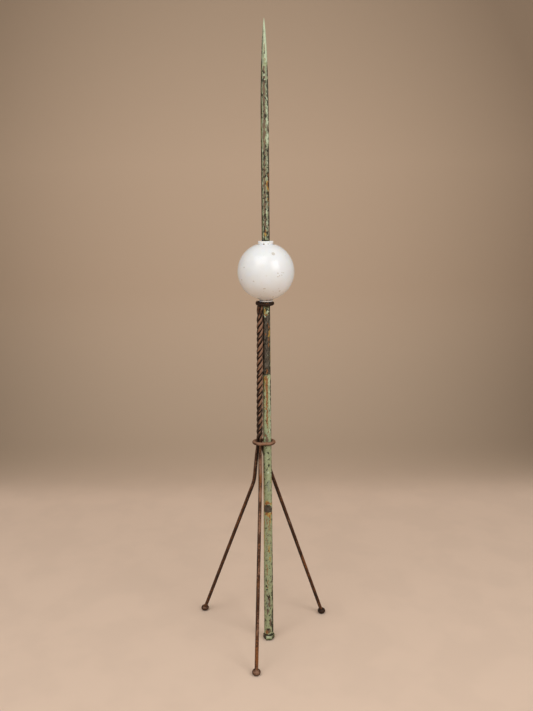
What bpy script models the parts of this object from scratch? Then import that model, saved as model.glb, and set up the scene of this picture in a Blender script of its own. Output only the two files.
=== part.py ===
"""An antique lightning rod with its glass ball, held upright by a twisted iron tripod.

The copper rod stands on the origin and runs straight up Z. The camera side is -Y.
The three iron bars are twisted together beside the rod, between an eye under the ball
and an oval ring, and spread below the ring into three legs on ball feet.
"""

from math import acos, ceil, cos, pi, radians, sin, sqrt, tan

import bmesh
import bpy
from mathutils import Matrix, Vector

# Clearances, in metres
TOUCH = 0.0003

# The lower tube, round and tapered, from its foot up to its mouth
CAP_HEIGHT = 0.014
TUBE_TOP = 0.605
TUBE_FOOT_RADIUS = 0.0104
TUBE_TOP_RADIUS = 0.00815
TUBE_WALL = 0.0013

# The upper rod, eight-sided, and the screwed point on its end
UPPER_RADIUS = 0.0084
UPPER_WALL = 0.0014
BORE_TAPER_WALL = 0.0021
BORE_END_DROP = 0.020
UPPER_TURN = radians(15)
SPIGOT_LENGTH = 0.032
TIP_HEIGHT = 1.2925
POINT_LENGTH = 0.0258
TAPER_LENGTH = 0.2075
TAPER_POWER = 2.45
TAPER_FULLNESS = 0.74
TAPER_STEPS = 9
POINT_STEPS = 6
POINT_BORE = 0.0018
POINT_TAIL = 0.008

# The six-sided cap that the tube stands on, bulging between a top and a base chamfer
CAP_RADIUS = 0.0134
CAP_TOP_CHAMFER = 0.0012
CAP_TOP_FALL = 0.0028
CAP_BASE_CHAMFER = 0.0028
CAP_BASE_RISE = 0.0050
CAP_PLUG = 0.014

# The glass ball, with a neck at each end
BALL_RADIUS = 0.05715
BALL_WALL = 0.004
BALL_HEIGHT = 0.818
NECK_TOP_RADIUS = 0.0156
NECK_BOTTOM_RADIUS = 0.0143
NECK_TOP_RISE = 0.0608
NECK_BOTTOM_DROP = 0.0601
NECK_LIP = 0.0011
NECK_CLEARANCE = 0.0014

# The iron bar that the tripod, the eye and the ring are made of, and how thin the hot twist drew it
BAR_RADIUS = 0.0039
STRAND_RADIUS = 0.0029
SWELL_DROP = 0.004
SWELL_LENGTH = 0.030
LAY = 0.0395
LOOSE_LENGTH = 0.026
LOOSE_RATE = 0.6
UNWIND_LENGTH = 0.014
HEAD_ROOM = 0.0020
STRAND_STEP = 0.0035
TWIST_TOP_SIDE = radians(214.6)
TWIST_BOTTOM_SIDE = radians(184.9)
TWIST_BOTTOM_GAP = 0.0010

# The eye under the ball
EYE_LEFT = 0.0176
EYE_RIGHT = 0.0128
EYE_HALF_DEPTH = 0.0129
KNUCKLE_RADIUS = 0.0045
KNUCKLE_HALF_HEIGHT = 0.0054

# The oval ring round the twist and the rod
RING_HEIGHT = 0.4597
RING_TO_TWIST = 0.0023
RING_GRIP = 0.0009
RING_RIGHT_GAP = 0.0012
RING_LEFT_GAP = 0.0013

# The legs: where each strand leaves the twist, its knee and its foot on the floor
KNEE_DROP = 0.0897
KNEE_BEND = 0.065
SHOULDER_BEND = 0.040
ROD_PASS_DROP = 0.0277
ROD_PASS_SIDE = radians(122.5)
ROD_PASS_GAP = 0.0009
LEGS = {
    "left": dict(phase=radians(165), knee_side=radians(139.2), knee_reach=0.0164,
                 foot=(-0.1519, 0.1190), behind_rod=False),
    "front": dict(phase=radians(285), knee_side=radians(272.5), knee_reach=0.0151,
                  foot=(-0.0265, -0.1293), behind_rod=False),
    "right": dict(phase=radians(45), knee_side=radians(35.2), knee_reach=0.0353,
                  foot=(0.1248, 0.1012), behind_rod=True),
}
FOOT_RADIUS = 0.0092
FOOT_HALF_HEIGHT = 0.0070
FOOT_FLAT = 0.0042
LEG_END_RISE = 0.0030

# How finely round things are made
TUBE_SIDES = 24
BALL_SIDES = 36
BALL_OUTER_STEPS = 18
BALL_INNER_STEPS = 12
FOOT_SIDES = 20
FOOT_STEPS = 9
SOCKET_SIDES = 24
OVAL_STEPS = 9
ARC_STEP = radians(9)
SHARP_ANGLE = radians(32)


def cleared_scene(part_name):
    """Empty the scene and return a collection for the pieces and one for the cutters."""
    for old in list(bpy.data.objects):
        bpy.data.objects.remove(old, do_unlink=True)
    collections = []
    for name in (part_name, "cutters"):
        collection = bpy.data.collections.new(name)
        bpy.context.scene.collection.children.link(collection)
        collections.append(collection)
    return collections


def finish_material(name, colour, roughness, metallic):
    """A Principled material with one colour, roughness and metallic value."""
    material = bpy.data.materials.new(name)
    material.use_nodes = True
    shader = material.node_tree.nodes["Principled BSDF"]
    shader.inputs["Base Color"].default_value = (*colour, 1.0)
    shader.inputs["Roughness"].default_value = roughness
    shader.inputs["Metallic"].default_value = metallic
    return material


def placed(name, data, collection, material):
    """Link a named object that carries the given mesh or curve and material."""
    piece = bpy.data.objects.new(name, data)
    collection.objects.link(piece)
    data.materials.append(material)
    return piece


def shade(mesh):
    """Shade a round mesh smooth and keep its real edges sharp."""
    mesh.shade_smooth()
    mesh.set_sharp_from_angle(angle=SHARP_ANGLE)


def turned(name, profile, sides, collection, material, hollow=False):
    """Turn a profile of (radius, height) points, listed down its outer side, about Z."""
    mesh = bpy.data.meshes.new(name)
    edges = [(i, i + 1) for i in range(len(profile) - 1)]
    if hollow:
        edges.append((len(profile) - 1, 0))
    mesh.from_pydata([(radius, 0.0, height) for radius, height in profile], edges, [])
    piece = placed(name, mesh, collection, material)
    screw = piece.modifiers.new("turn", "SCREW")
    screw.angle = 2 * pi
    screw.steps = sides
    screw.render_steps = sides
    screw.use_merge_vertices = True
    screw.merge_threshold = 0.00001
    screw.use_smooth_shade = sides > 8
    return piece


def bent_bar(name, points, collection, material, closed=False, thickness=None):
    """A round bar along a list of points, as a curve with filled ends.

    thickness gives the bar's radius at a height, where it isn't the same all along.
    """
    curve = bpy.data.curves.new(name, "CURVE")
    curve.dimensions = "3D"
    curve.bevel_depth = BAR_RADIUS
    curve.bevel_resolution = 2
    curve.use_fill_caps = not closed
    spline = curve.splines.new("POLY")
    spline.points.add(len(points) - 1)
    for knot, point in zip(spline.points, points):
        knot.co = (*point, 1.0)
        if thickness:
            knot.radius = thickness(point.z) / BAR_RADIUS
    spline.use_cyclic_u = closed
    return placed(name, curve, collection, material)


def as_mesh(piece, collection):
    """Turn a curve object into a mesh object with welded ends, and remove the curve."""
    bpy.context.view_layer.update()
    shown = piece.evaluated_get(bpy.context.evaluated_depsgraph_get())
    mesh = bpy.data.meshes.new_from_object(shown)
    welded = bmesh.new()
    welded.from_mesh(mesh)
    bmesh.ops.remove_doubles(welded, verts=welded.verts, dist=0.00001)
    welded.to_mesh(mesh)
    welded.free()
    shade(mesh)
    name = piece.name
    place = piece.matrix_world.copy()
    bpy.data.objects.remove(piece, do_unlink=True)
    solid = bpy.data.objects.new(name, mesh)
    solid.matrix_world = place
    collection.objects.link(solid)
    return solid


def joined(piece, other, operation):
    """Add or cut with another mesh object, by an exact Boolean."""
    boolean = piece.modifiers.new(operation.lower(), "BOOLEAN")
    boolean.operation = operation
    boolean.solver = "EXACT"
    boolean.object = other
    other.hide_render = True
    other.display_type = "WIRE"


def cylinder_cutter(name, start, direction, length, radius, collection):
    """A closed cylinder that starts at a point and runs in a direction."""
    mesh = bpy.data.meshes.new(name)
    body = bmesh.new()
    bmesh.ops.create_cone(body, cap_ends=True, segments=SOCKET_SIDES, radius1=radius, radius2=radius,
                          depth=length, matrix=Matrix.Translation((0, 0, length / 2)))
    body.to_mesh(mesh)
    body.free()
    cutter = bpy.data.objects.new(name, mesh)
    cutter.location = start
    cutter.rotation_euler = direction.to_track_quat("Z", "Y").to_euler()
    collection.objects.link(cutter)
    return cutter


def rounded_path(points, bends):
    """Points along straight runs, with each inner corner rounded to its own bend radius."""
    path = [points[0]]
    for before, corner, after, bend in zip(points, points[1:], points[2:], bends):
        inward = (before - corner).normalized()
        onward = (after - corner).normalized()
        turn = pi - acos(max(-1.0, min(1.0, inward.dot(onward))))
        room = 0.45 * min((before - corner).length, (after - corner).length)
        reach = min(bend * tan(turn / 2), room)
        radius = reach / tan(turn / 2)
        middle = (inward + onward).normalized()
        centre = corner + middle * sqrt(reach * reach + radius * radius)
        start = corner + inward * reach - centre
        normal = start.cross(corner + onward * reach - centre).normalized()
        steps = max(2, ceil(turn / ARC_STEP))
        for i in range(steps + 1):
            path.append(centre + Matrix.Rotation(turn * i / steps, 3, normal) @ start)
    path.append(points[-1])
    return path


def oval_loop(left, right, half_depth, height):
    """A closed oval round the rod: two half circles joined by straight sides."""
    path = []
    for middle, first in ((right - half_depth, -pi / 2), (half_depth - left, pi / 2)):
        for i in range(OVAL_STEPS + 1):
            angle = first + pi * i / OVAL_STEPS
            path.append(Vector((middle + half_depth * cos(angle), half_depth * sin(angle), height)))
    return path


def tube_radius(height):
    """Outer radius of the lower tube at a height."""
    share = (height - CAP_HEIGHT) / (TUBE_TOP - CAP_HEIGHT)
    return TUBE_FOOT_RADIUS + (TUBE_TOP_RADIUS - TUBE_FOOT_RADIUS) * share


def taper(height):
    """Radius of the upper rod and point: full up to TAPER_START, then rounding in to the tip."""
    share = max(0.0, (height - TAPER_START) / (TIP_HEIGHT - TAPER_START))
    return UPPER_RADIUS * (1.0 - share ** TAPER_POWER) ** TAPER_FULLNESS


def strand_spacing(radius):
    """Closest distance between the middles of two neighbouring strands of the twist."""
    rise = LAY / (2 * pi)
    closest = 1.0
    for i in range(121):
        swing = radians(i)
        across = 2 * radius * radius * (1 - cos(radians(120) - swing))
        closest = min(closest, sqrt(across + (rise * swing) ** 2))
    return closest


def strand_circle():
    """Radius of the circle that the strands' middles wind on, so that they just clear."""
    low, high = STRAND_RADIUS, 4 * STRAND_RADIUS
    for _ in range(40):
        middle = (low + high) / 2
        if strand_spacing(middle) < 2 * STRAND_RADIUS + TOUCH:
            low = middle
        else:
            high = middle
    return high


POINT_JOINT = TIP_HEIGHT - POINT_LENGTH
TAPER_START = TIP_HEIGHT - TAPER_LENGTH
TWIST_BOTTOM = RING_HEIGHT + RING_TO_TWIST
ROD_PASS_HEIGHT = RING_HEIGHT - ROD_PASS_DROP
KNEE_HEIGHT = RING_HEIGHT - KNEE_DROP
STRAND_CIRCLE = strand_circle()
TWIST_RADIUS = STRAND_CIRCLE + STRAND_RADIUS
NECK_BORE = UPPER_RADIUS + NECK_CLEARANCE
EYE_HEIGHT = BALL_HEIGHT - NECK_BOTTOM_DROP - TOUCH - BAR_RADIUS
TWIST_TOP = EYE_HEIGHT - BAR_RADIUS - HEAD_ROOM


def plan_point(distance, side, height):
    """A point at a distance from the rod's axis, on a side counted from +X towards +Y."""
    return Vector((distance * cos(side), distance * sin(side), height))


def twist_middle(height):
    """The twist's axis: close to the rod at the top, a little off it at the ring."""
    top = plan_point(UPPER_RADIUS + TWIST_RADIUS + TOUCH, TWIST_TOP_SIDE, TWIST_TOP)
    bottom = plan_point(tube_radius(TWIST_BOTTOM) + TWIST_RADIUS + TWIST_BOTTOM_GAP,
                        TWIST_BOTTOM_SIDE, TWIST_BOTTOM)
    return bottom.lerp(top, (height - TWIST_BOTTOM) / (TWIST_TOP - TWIST_BOTTOM))


def wound_length(rise):
    """Length of full twist up to a rise above the ring: none at first, slack at the top."""
    slack = max(0.0, rise - (TWIST_TOP - TWIST_BOTTOM - LOOSE_LENGTH))
    if rise < UNWIND_LENGTH:
        return rise * rise / (2 * UNWIND_LENGTH)
    return rise - UNWIND_LENGTH / 2 - (1 - LOOSE_RATE) * slack


def strand_path(phase):
    """One strand's middle line, from the eye down to the ring."""
    count = round((TWIST_TOP - TWIST_BOTTOM) / STRAND_STEP)
    path = []
    for i in range(count, -1, -1):
        rise = (TWIST_TOP - TWIST_BOTTOM) * i / count
        angle = phase + 2 * pi * wound_length(rise) / LAY
        around = Vector((cos(angle), sin(angle), 0.0)) * STRAND_CIRCLE
        path.append(twist_middle(TWIST_BOTTOM + rise) + around)
    return path


def bar_thickness(height):
    """Radius of a bar: drawn thin in the twist, full a little way below the ring."""
    share = (RING_HEIGHT - SWELL_DROP - height) / SWELL_LENGTH
    share = max(0.0, min(1.0, share))
    return STRAND_RADIUS + (BAR_RADIUS - STRAND_RADIUS) * share


def foot_middle(leg):
    """The middle of a foot at its widest, above where the leg stands."""
    return Vector((*leg["foot"], FOOT_HALF_HEIGHT * sqrt(1 - (FOOT_FLAT / FOOT_RADIUS) ** 2)))


def leg_corners(leg):
    """The leg's corners below the ring: past the rod where it has to, the knee and the foot."""
    corners = []
    if leg["behind_rod"]:
        clear = tube_radius(ROD_PASS_HEIGHT) + BAR_RADIUS + ROD_PASS_GAP
        corners.append(plan_point(clear, ROD_PASS_SIDE, ROD_PASS_HEIGHT))
    ring_middle = twist_middle(TWIST_BOTTOM)
    knee = ring_middle + plan_point(leg["knee_reach"], leg["knee_side"], 0.0)
    knee.z = KNEE_HEIGHT
    corners.append(knee)
    return corners


def leg_end(leg):
    """The last point of the leg's bar, inside its ball foot, and the way up the leg."""
    middle = foot_middle(leg)
    upward = (leg_corners(leg)[-1] - middle).normalized()
    return middle + upward * LEG_END_RISE, upward


def make_point(parts, copper):
    """The solid copper point, with a tail that screws into the upper rod."""
    heights = [TIP_HEIGHT - (TIP_HEIGHT - POINT_JOINT - TOUCH) * (i / POINT_STEPS) ** 1.5
               for i in range(POINT_STEPS + 1)]
    profile = [(taper(height), height) for height in heights[1:]]
    tail = POINT_BORE - TOUCH
    shoulder = profile[-1][1]
    profile = [(0.0, TIP_HEIGHT)] + profile
    profile += [(tail, shoulder), (tail, POINT_JOINT - POINT_TAIL), (0.0, POINT_JOINT - POINT_TAIL)]
    point = turned("rod_point", profile, 8, parts, copper)
    point.rotation_euler.z = UPPER_TURN


def make_upper_rod(parts, copper):
    """The eight-sided rod through the ball, bored through, with a spigot for the tube."""
    spigot = tube_radius(TUBE_TOP) - TUBE_WALL - TOUCH
    shoulder = TUBE_TOP + TOUCH
    outer = []
    inner = []
    for i in range(TAPER_STEPS + 1):
        height = POINT_JOINT + (TAPER_START - POINT_JOINT) * i / TAPER_STEPS
        outer.append((taper(height), height))
        inner.append((max(POINT_BORE, taper(height) - BORE_TAPER_WALL), height))
    bore = spigot - UPPER_WALL
    bore_top = TAPER_START - BORE_END_DROP
    profile = outer + [(UPPER_RADIUS, shoulder), (spigot, shoulder),
                       (spigot, shoulder - SPIGOT_LENGTH), (bore, shoulder - SPIGOT_LENGTH),
                       (bore, bore_top)]
    profile += [(min(bore, radius), height) for radius, height in reversed(inner)]
    rod = turned("upper_rod", profile, 8, parts, copper, hollow=True)
    rod.rotation_euler.z = UPPER_TURN


def make_lower_tube(parts, copper):
    """The tapered round tube, open at both ends, standing on the cap's shoulder."""
    bottom = CAP_HEIGHT + TOUCH
    profile = [(tube_radius(TUBE_TOP), TUBE_TOP), (tube_radius(bottom), bottom),
               (tube_radius(bottom) - TUBE_WALL, bottom), (tube_radius(TUBE_TOP) - TUBE_WALL, TUBE_TOP)]
    turned("lower_tube", profile, TUBE_SIDES, parts, copper, hollow=True)


def make_foot_cap(parts, copper):
    """The six-sided cap on the floor, with a plug that fills the tube's end."""
    plug = tube_radius(CAP_HEIGHT) - TUBE_WALL - TOUCH
    profile = [(0.0, CAP_HEIGHT + CAP_PLUG), (plug, CAP_HEIGHT + CAP_PLUG), (plug, CAP_HEIGHT),
               (CAP_RADIUS - CAP_TOP_CHAMFER, CAP_HEIGHT), (CAP_RADIUS, CAP_HEIGHT - CAP_TOP_FALL),
               (CAP_RADIUS, CAP_BASE_RISE), (CAP_RADIUS - CAP_BASE_CHAMFER, 0.0), (0.0, 0.0)]
    turned("rod_foot_cap", profile, 6, parts, copper)


def make_ball(parts, glass):
    """The blown ball, hollow, with a lipped neck at the top and one at the bottom."""
    inside = BALL_RADIUS - BALL_WALL
    top_angle = acos(NECK_TOP_RADIUS / BALL_RADIUS)
    bottom_angle = -acos(NECK_BOTTOM_RADIUS / BALL_RADIUS)
    bore_angle = acos(NECK_BORE / inside)
    profile = [(NECK_BORE, NECK_TOP_RISE), (NECK_TOP_RADIUS - NECK_LIP, NECK_TOP_RISE),
               (NECK_TOP_RADIUS, NECK_TOP_RISE - NECK_LIP)]
    for i in range(BALL_OUTER_STEPS + 1):
        angle = top_angle + (bottom_angle - top_angle) * i / BALL_OUTER_STEPS
        profile.append((BALL_RADIUS * cos(angle), BALL_RADIUS * sin(angle)))
    profile += [(NECK_BOTTOM_RADIUS, NECK_LIP - NECK_BOTTOM_DROP),
                (NECK_BOTTOM_RADIUS - NECK_LIP, -NECK_BOTTOM_DROP), (NECK_BORE, -NECK_BOTTOM_DROP)]
    for i in range(BALL_INNER_STEPS + 1):
        angle = -bore_angle + 2 * bore_angle * i / BALL_INNER_STEPS
        profile.append((inside * cos(angle), inside * sin(angle)))
    ball = turned("glass_ball", profile, BALL_SIDES, parts, glass, hollow=True)
    ball.location.z = BALL_HEIGHT


def make_eye(parts, cutters, iron):
    """The eye that carries the ball, with the knuckle over the head of the twist."""
    loop = bent_bar("top_eye", oval_loop(EYE_LEFT, EYE_RIGHT, EYE_HALF_DEPTH, EYE_HEIGHT),
                    parts, iron, closed=True)
    eye = as_mesh(loop, parts)
    knuckle_mesh = bpy.data.meshes.new("knuckle")
    lump = bmesh.new()
    bmesh.ops.create_uvsphere(lump, u_segments=12, v_segments=8, radius=1.0)
    lump.to_mesh(knuckle_mesh)
    lump.free()
    knuckle_mesh.transform(Matrix.Diagonal((KNUCKLE_RADIUS, KNUCKLE_RADIUS, KNUCKLE_HALF_HEIGHT, 1.0)))
    knuckle = bpy.data.objects.new("knuckle", knuckle_mesh)
    knuckle.location = (-EYE_LEFT, 0.0, EYE_HEIGHT)
    cutters.objects.link(knuckle)
    joined(eye, knuckle, "UNION")


def make_ring(parts, iron):
    """The oval ring that draws the twist and the rod together."""
    ring_left = -twist_middle(RING_HEIGHT).x + TWIST_RADIUS + RING_LEFT_GAP + BAR_RADIUS
    ring_right = tube_radius(RING_HEIGHT) + RING_RIGHT_GAP + BAR_RADIUS
    half_depth = tube_radius(RING_HEIGHT) + RING_GRIP + BAR_RADIUS
    bent_bar("middle_ring", oval_loop(ring_left, ring_right, half_depth, RING_HEIGHT),
             parts, iron, closed=True)


def make_leg(side, leg, parts, iron):
    """One bar: a strand of the twist, the bend below the ring and the straight leg."""
    strand = strand_path(leg["phase"])
    end, _ = leg_end(leg)
    corners = [strand[-2], strand[-1]] + leg_corners(leg) + [end]
    bends = [SHOULDER_BEND] * (len(corners) - 3) + [KNEE_BEND]
    path = strand[:-2] + rounded_path(corners, bends)
    bent_bar("leg_" + side, path, parts, iron, thickness=bar_thickness)


def make_foot(side, leg, parts, cutters, iron):
    """A ball foot, flattened where it stands, with a socket for the leg."""
    middle = foot_middle(leg)
    base_angle = -acos(FOOT_FLAT / FOOT_RADIUS)
    profile = [(0.0, FOOT_HALF_HEIGHT)]
    for i in range(1, FOOT_STEPS + 1):
        angle = pi / 2 + (base_angle - pi / 2) * i / FOOT_STEPS
        profile.append((FOOT_RADIUS * cos(angle), FOOT_HALF_HEIGHT * sin(angle)))
    profile.append((0.0, -middle.z))
    foot = turned("foot_" + side, profile, FOOT_SIDES, parts, iron)
    foot.location = middle
    end, upward = leg_end(leg)
    socket = cylinder_cutter("socket_" + side, end - upward * TOUCH, upward, 2 * FOOT_RADIUS,
                             BAR_RADIUS + TOUCH, cutters)
    joined(foot, socket, "DIFFERENCE")


def main():
    parts, cutters = cleared_scene("lightning_rod")
    copper = finish_material("verdigris_copper", (0.33, 0.42, 0.28), 0.72, 0.25)
    glass = finish_material("milk_glass", (0.86, 0.86, 0.84), 0.12, 0.0)
    iron = finish_material("rusted_iron", (0.12, 0.065, 0.045), 0.68, 0.55)
    make_point(parts, copper)
    make_upper_rod(parts, copper)
    make_lower_tube(parts, copper)
    make_foot_cap(parts, copper)
    make_ball(parts, glass)
    make_eye(parts, cutters, iron)
    make_ring(parts, iron)
    for side, leg in LEGS.items():
        make_leg(side, leg, parts, iron)
        make_foot(side, leg, parts, cutters, iron)
    for cutter in cutters.objects:
        cutter.hide_render = True
    bpy.context.view_layer.update()


main()
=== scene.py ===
"""Looks of an antique lightning rod: verdigris copper, a milk-glass ball and a rusted iron stand."""

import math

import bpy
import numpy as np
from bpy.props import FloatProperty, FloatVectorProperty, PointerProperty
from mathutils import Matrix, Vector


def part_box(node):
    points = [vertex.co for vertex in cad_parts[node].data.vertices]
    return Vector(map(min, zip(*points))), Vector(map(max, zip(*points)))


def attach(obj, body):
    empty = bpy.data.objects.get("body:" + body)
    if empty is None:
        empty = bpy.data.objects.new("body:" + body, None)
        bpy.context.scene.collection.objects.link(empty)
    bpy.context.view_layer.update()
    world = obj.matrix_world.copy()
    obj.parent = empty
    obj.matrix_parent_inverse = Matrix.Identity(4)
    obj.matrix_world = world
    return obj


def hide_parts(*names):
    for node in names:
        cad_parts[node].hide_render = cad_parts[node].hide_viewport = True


bl_info = {
    "name": "Lightning Rod Finish",
    "version": (1, 0, 0),
    "blender": (4, 5, 0),
    "location": "3D View > Sidebar > Lightning Rod",
    "description": "Copper rod, glass ball and twisted iron stand built over a fixed frame",
    "category": "Object",
}

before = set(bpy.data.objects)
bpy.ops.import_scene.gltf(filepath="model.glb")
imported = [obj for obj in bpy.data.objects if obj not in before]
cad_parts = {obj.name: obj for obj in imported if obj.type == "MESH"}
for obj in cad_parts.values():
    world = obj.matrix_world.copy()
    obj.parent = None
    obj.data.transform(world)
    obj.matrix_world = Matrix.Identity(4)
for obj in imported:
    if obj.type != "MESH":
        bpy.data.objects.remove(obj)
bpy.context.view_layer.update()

BODY = "root"
TAU = 2 * math.pi
MM = 0.001
UPWARDS = np.array([[0.0, 0.0, 1.0]])

# A path is a ring if its ends lie this close together
CLOSED_WITHIN = 0.02


def span(node, axis):
    """Size of a frame node along one axis."""
    low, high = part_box(node)
    return high[axis] - low[axis]


def size(label, text, value):
    """A length in metres that a user may change."""
    return FloatProperty(name=label, description=text, default=value, unit="LENGTH", precision=5)


def tone(label, text, value):
    """A colour that a user may change."""
    return FloatVectorProperty(name=label, description=text, default=value, size=3,
                               subtype="COLOR", min=0.0, max=1.0)


class RodSizes(bpy.types.PropertyGroup):
    """Sizes of the copper rod, its point, its tube and its cap."""

    tip_height: size("Tip height", "Height of the rod's tip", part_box("rod_point")[1].z)
    point_joint: size("Point joint", "Height where the point screws in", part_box("upper_rod")[1].z)
    upper_radius: size("Upper radius", "Corner radius of the eight-sided rod", 0.0084)
    taper_length: size("Taper length", "Length over which the rod narrows to its tip", 0.2075)
    tube_top: size("Tube top", "Height of the round tube's mouth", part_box("lower_tube")[1].z)
    tube_top_radius: size("Tube top radius", "Radius of the tube at its mouth", 0.00815)
    tube_foot_radius: size("Tube foot radius", "Radius of the tube at the cap", 0.0104)
    cap_height: size("Cap height", "Height of the cap's shoulder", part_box("lower_tube")[0].z)
    cap_radius: size("Cap radius", "Corner radius of the foot cap", span("rod_foot_cap", 0) / 2)


class BallSizes(bpy.types.PropertyGroup):
    """Sizes of the glass ball and its necks."""

    radius: size("Radius", "Outer radius of the ball", span("glass_ball", 0) / 2)
    middle: size("Middle", "Height of the ball's middle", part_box("glass_ball")[1].z - 0.0608)
    neck_rise: size("Neck rise", "Height of the upper neck's end above the middle", 0.0608)
    neck_drop: size("Neck drop", "Depth of the lower neck's end below the middle", 0.0601)
    top_neck: size("Top neck", "Outer radius of the upper neck", 0.0156)
    bottom_neck: size("Bottom neck", "Outer radius of the lower neck", 0.0143)
    bore: size("Bore", "Radius of the hole through both necks", 0.0098)
    wall: size("Wall", "Thickness of the glass", 0.0040)


class IronSizes(bpy.types.PropertyGroup):
    """Sizes of the bars, the twist, the eye, the ring and the feet."""

    bar_radius: size("Bar radius", "Radius of the round bar", span("middle_ring", 2) / 2)
    lay: size("Lay", "Height of one full turn of the twist", 0.0395)
    strand_radius: size("Strand radius", "Radius of a bar where the hot twist drew it thin", 0.0029)
    strand_circle: size("Strand circle", "Radius that the strands' middles wind on", 0.003715)
    ridge: size("Ridge", "Radius of the twist over a squeezed strand", 0.00675)
    valley: size("Valley", "Radius of the twist where two squeezed strands meet", 0.0048)
    eye_left: size("Eye left", "Reach of the eye's middle line over the twist", 0.0176)
    eye_right: size("Eye right", "Reach of the eye's middle line past the rod", 0.0128)
    eye_half_depth: size("Eye half depth", "Half depth of the eye's middle line", 0.0129)
    foot_radius: size("Foot radius", "Radius of a foot at its widest", span("foot_front", 0) / 2)


class Colours(bpy.types.PropertyGroup):
    """Colours of the copper's patina, the glass and the iron."""

    sage: tone("Sage", "Light green patina", (0.35, 0.395, 0.225))
    moss: tone("Moss", "Darker green patina", (0.175, 0.19, 0.082))
    # Also the painted highlight and reflections on the copper
    pale_and_highlight: tone("Pale", "Palest green bloom", (0.50, 0.58, 0.40))
    # Also painted shade on the copper's sides
    olive_and_shade: tone("Olive", "Olive crust", (0.135, 0.128, 0.045))
    # Also painted reflections on the rod's facets
    grey: tone("Grey", "Cool grey-green film", (0.25, 0.275, 0.195))
    umber: tone("Umber", "Brown-purple tarnish", (0.145, 0.088, 0.055))
    bare: tone("Bare", "Bare darkened metal", (0.068, 0.050, 0.035))
    film: tone("Film", "Grey film over bare metal", (0.155, 0.135, 0.105))
    rust: tone("Rust", "Orange rust stain", (0.27, 0.098, 0.026))
    ochre: tone("Ochre", "Yellow-ochre stain", (0.46, 0.27, 0.05))
    # Also painted shade and painted shadows on the copper
    soot_and_shade: tone("Soot", "Dark pits and crust", (0.020, 0.018, 0.009))
    glass: tone("Glass", "White of the milk glass", (0.86, 0.855, 0.84))
    # Tan of the painted shade on the lower half of the glass
    low_shade_and_dirt: tone("Dust", "Tan haze on the lower half of the glass", (0.62, 0.53, 0.43))
    speck: tone("Speck", "Tan specks on the glass", (0.50, 0.40, 0.29))
    dirt: tone("Dirt", "Dirt held in the neck grooves", (0.16, 0.10, 0.06))
    iron: tone("Iron", "Dark brown rust", (0.058, 0.021, 0.008))
    # Purple-brown of worn rust, also the painted highlight on the iron
    iron_light: tone("Iron light", "Purple-brown worn rust", (0.27, 0.143, 0.086))
    iron_rust: tone("Iron rust", "Orange-brown fresh rust", (0.23, 0.082, 0.022))
    # Nearly black scale, also the painted shade on the iron
    iron_dark: tone("Iron dark", "Nearly black scale", (0.015, 0.006, 0.002))
    floor: tone("Floor", "Pale warm floor and backdrop", (0.815, 0.628, 0.491))


class LensSettings(bpy.types.PropertyGroup):
    """Where the photograph was taken from."""

    aside: size("Aside", "Camera's place to the rod's right", -0.00026)
    distance: size("Distance", "Camera's distance in front of the rod", 1.4768)
    height: size("Height", "Camera's height above the floor", 0.95826)
    focal_px: FloatProperty(name="Focal length", default=735.0,
                            description="Focal length in pixels of the 711-pixel side")
    pitch: FloatProperty(name="Pitch", description="Downward tilt", default=math.radians(11.9456),
                         subtype="ANGLE")
    roll: FloatProperty(name="Roll", description="Sideways tilt", default=math.radians(0.47),
                        subtype="ANGLE")


def settings():
    """The scene's own copy of all sizes and colours."""
    return bpy.context.scene.lightning_rod


class LightningRod(bpy.types.PropertyGroup):
    """All settings of the lightning rod."""

    rod: PointerProperty(type=RodSizes)
    ball: PointerProperty(type=BallSizes)
    iron: PointerProperty(type=IronSizes)
    colours: PointerProperty(type=Colours)
    lens: PointerProperty(type=LensSettings)


# Shapes worked out as whole arrays

def eased(share):
    """3t^2 - 2t^3 of a share that is kept between 0 and 1."""
    share = np.clip(share, 0, 1)
    return share * share * (3 - 2 * share)


def mottle(across, along, seed, across_cells, along_cells):
    """Smooth random waviness from -1 to 1: random values on a lattice that wraps across, blended.

    across and along run from 0 to 1, and between lattice points the value follows 3t^2 - 2t^3.
    """
    lattice = np.random.default_rng(seed).uniform(-1, 1, (along_cells + 2, across_cells))
    u = (across % 1.0) * across_cells
    v = np.clip(along, 0, 1) * along_cells
    u0 = np.floor(u).astype(int)
    v0 = np.floor(v).astype(int)
    du = eased(u - u0)
    dv = eased(v - v0)
    left = u0 % across_cells
    right = (u0 + 1) % across_cells
    low = lattice[v0, left] * (1 - du) + lattice[v0, right] * du
    high = lattice[v0 + 1, left] * (1 - du) + lattice[v0 + 1, right] * du
    return low * (1 - dv) + high * dv


def rough(across, along, seed, across_cells, along_cells):
    """Three octaves of mottle, each half as strong and twice as fine as the one before."""
    total = np.zeros(np.broadcast(across, along).shape)
    for octave in range(3):
        fine = 2 ** octave
        total += mottle(across, along, seed + octave, across_cells * fine, along_cells * fine) / fine
    return total / 1.75


def round_angles(columns):
    """Angles round the rod's axis, and the same angles counted from the front."""
    angle = np.linspace(0, TAU, columns, endpoint=False)[None, :]
    return angle, (angle + math.pi / 2) % TAU


def shares(rows, columns, ring=False):
    """How far along its rows and across its columns each point of a grid is, from 0 to 1."""
    along = np.linspace(0, 1, rows, endpoint=not ring)[:, None]
    return along, np.linspace(0, 1, columns, endpoint=False)[None, :]


def many_sided(angle, sides, turn, sharpness):
    """Radius of a rounded polygon with its corners at radius 1, in each direction.

    The faces' distances are joined by a p-norm, so the corners are slightly rounded.
    """
    facing = turn + (np.arange(sides) + 0.5) * TAU / sides
    lean = np.maximum(np.cos(angle[..., None] - facing), 0.0)
    return math.cos(math.pi / sides) / (lean ** sharpness).sum(-1) ** (1 / sharpness)


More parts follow.
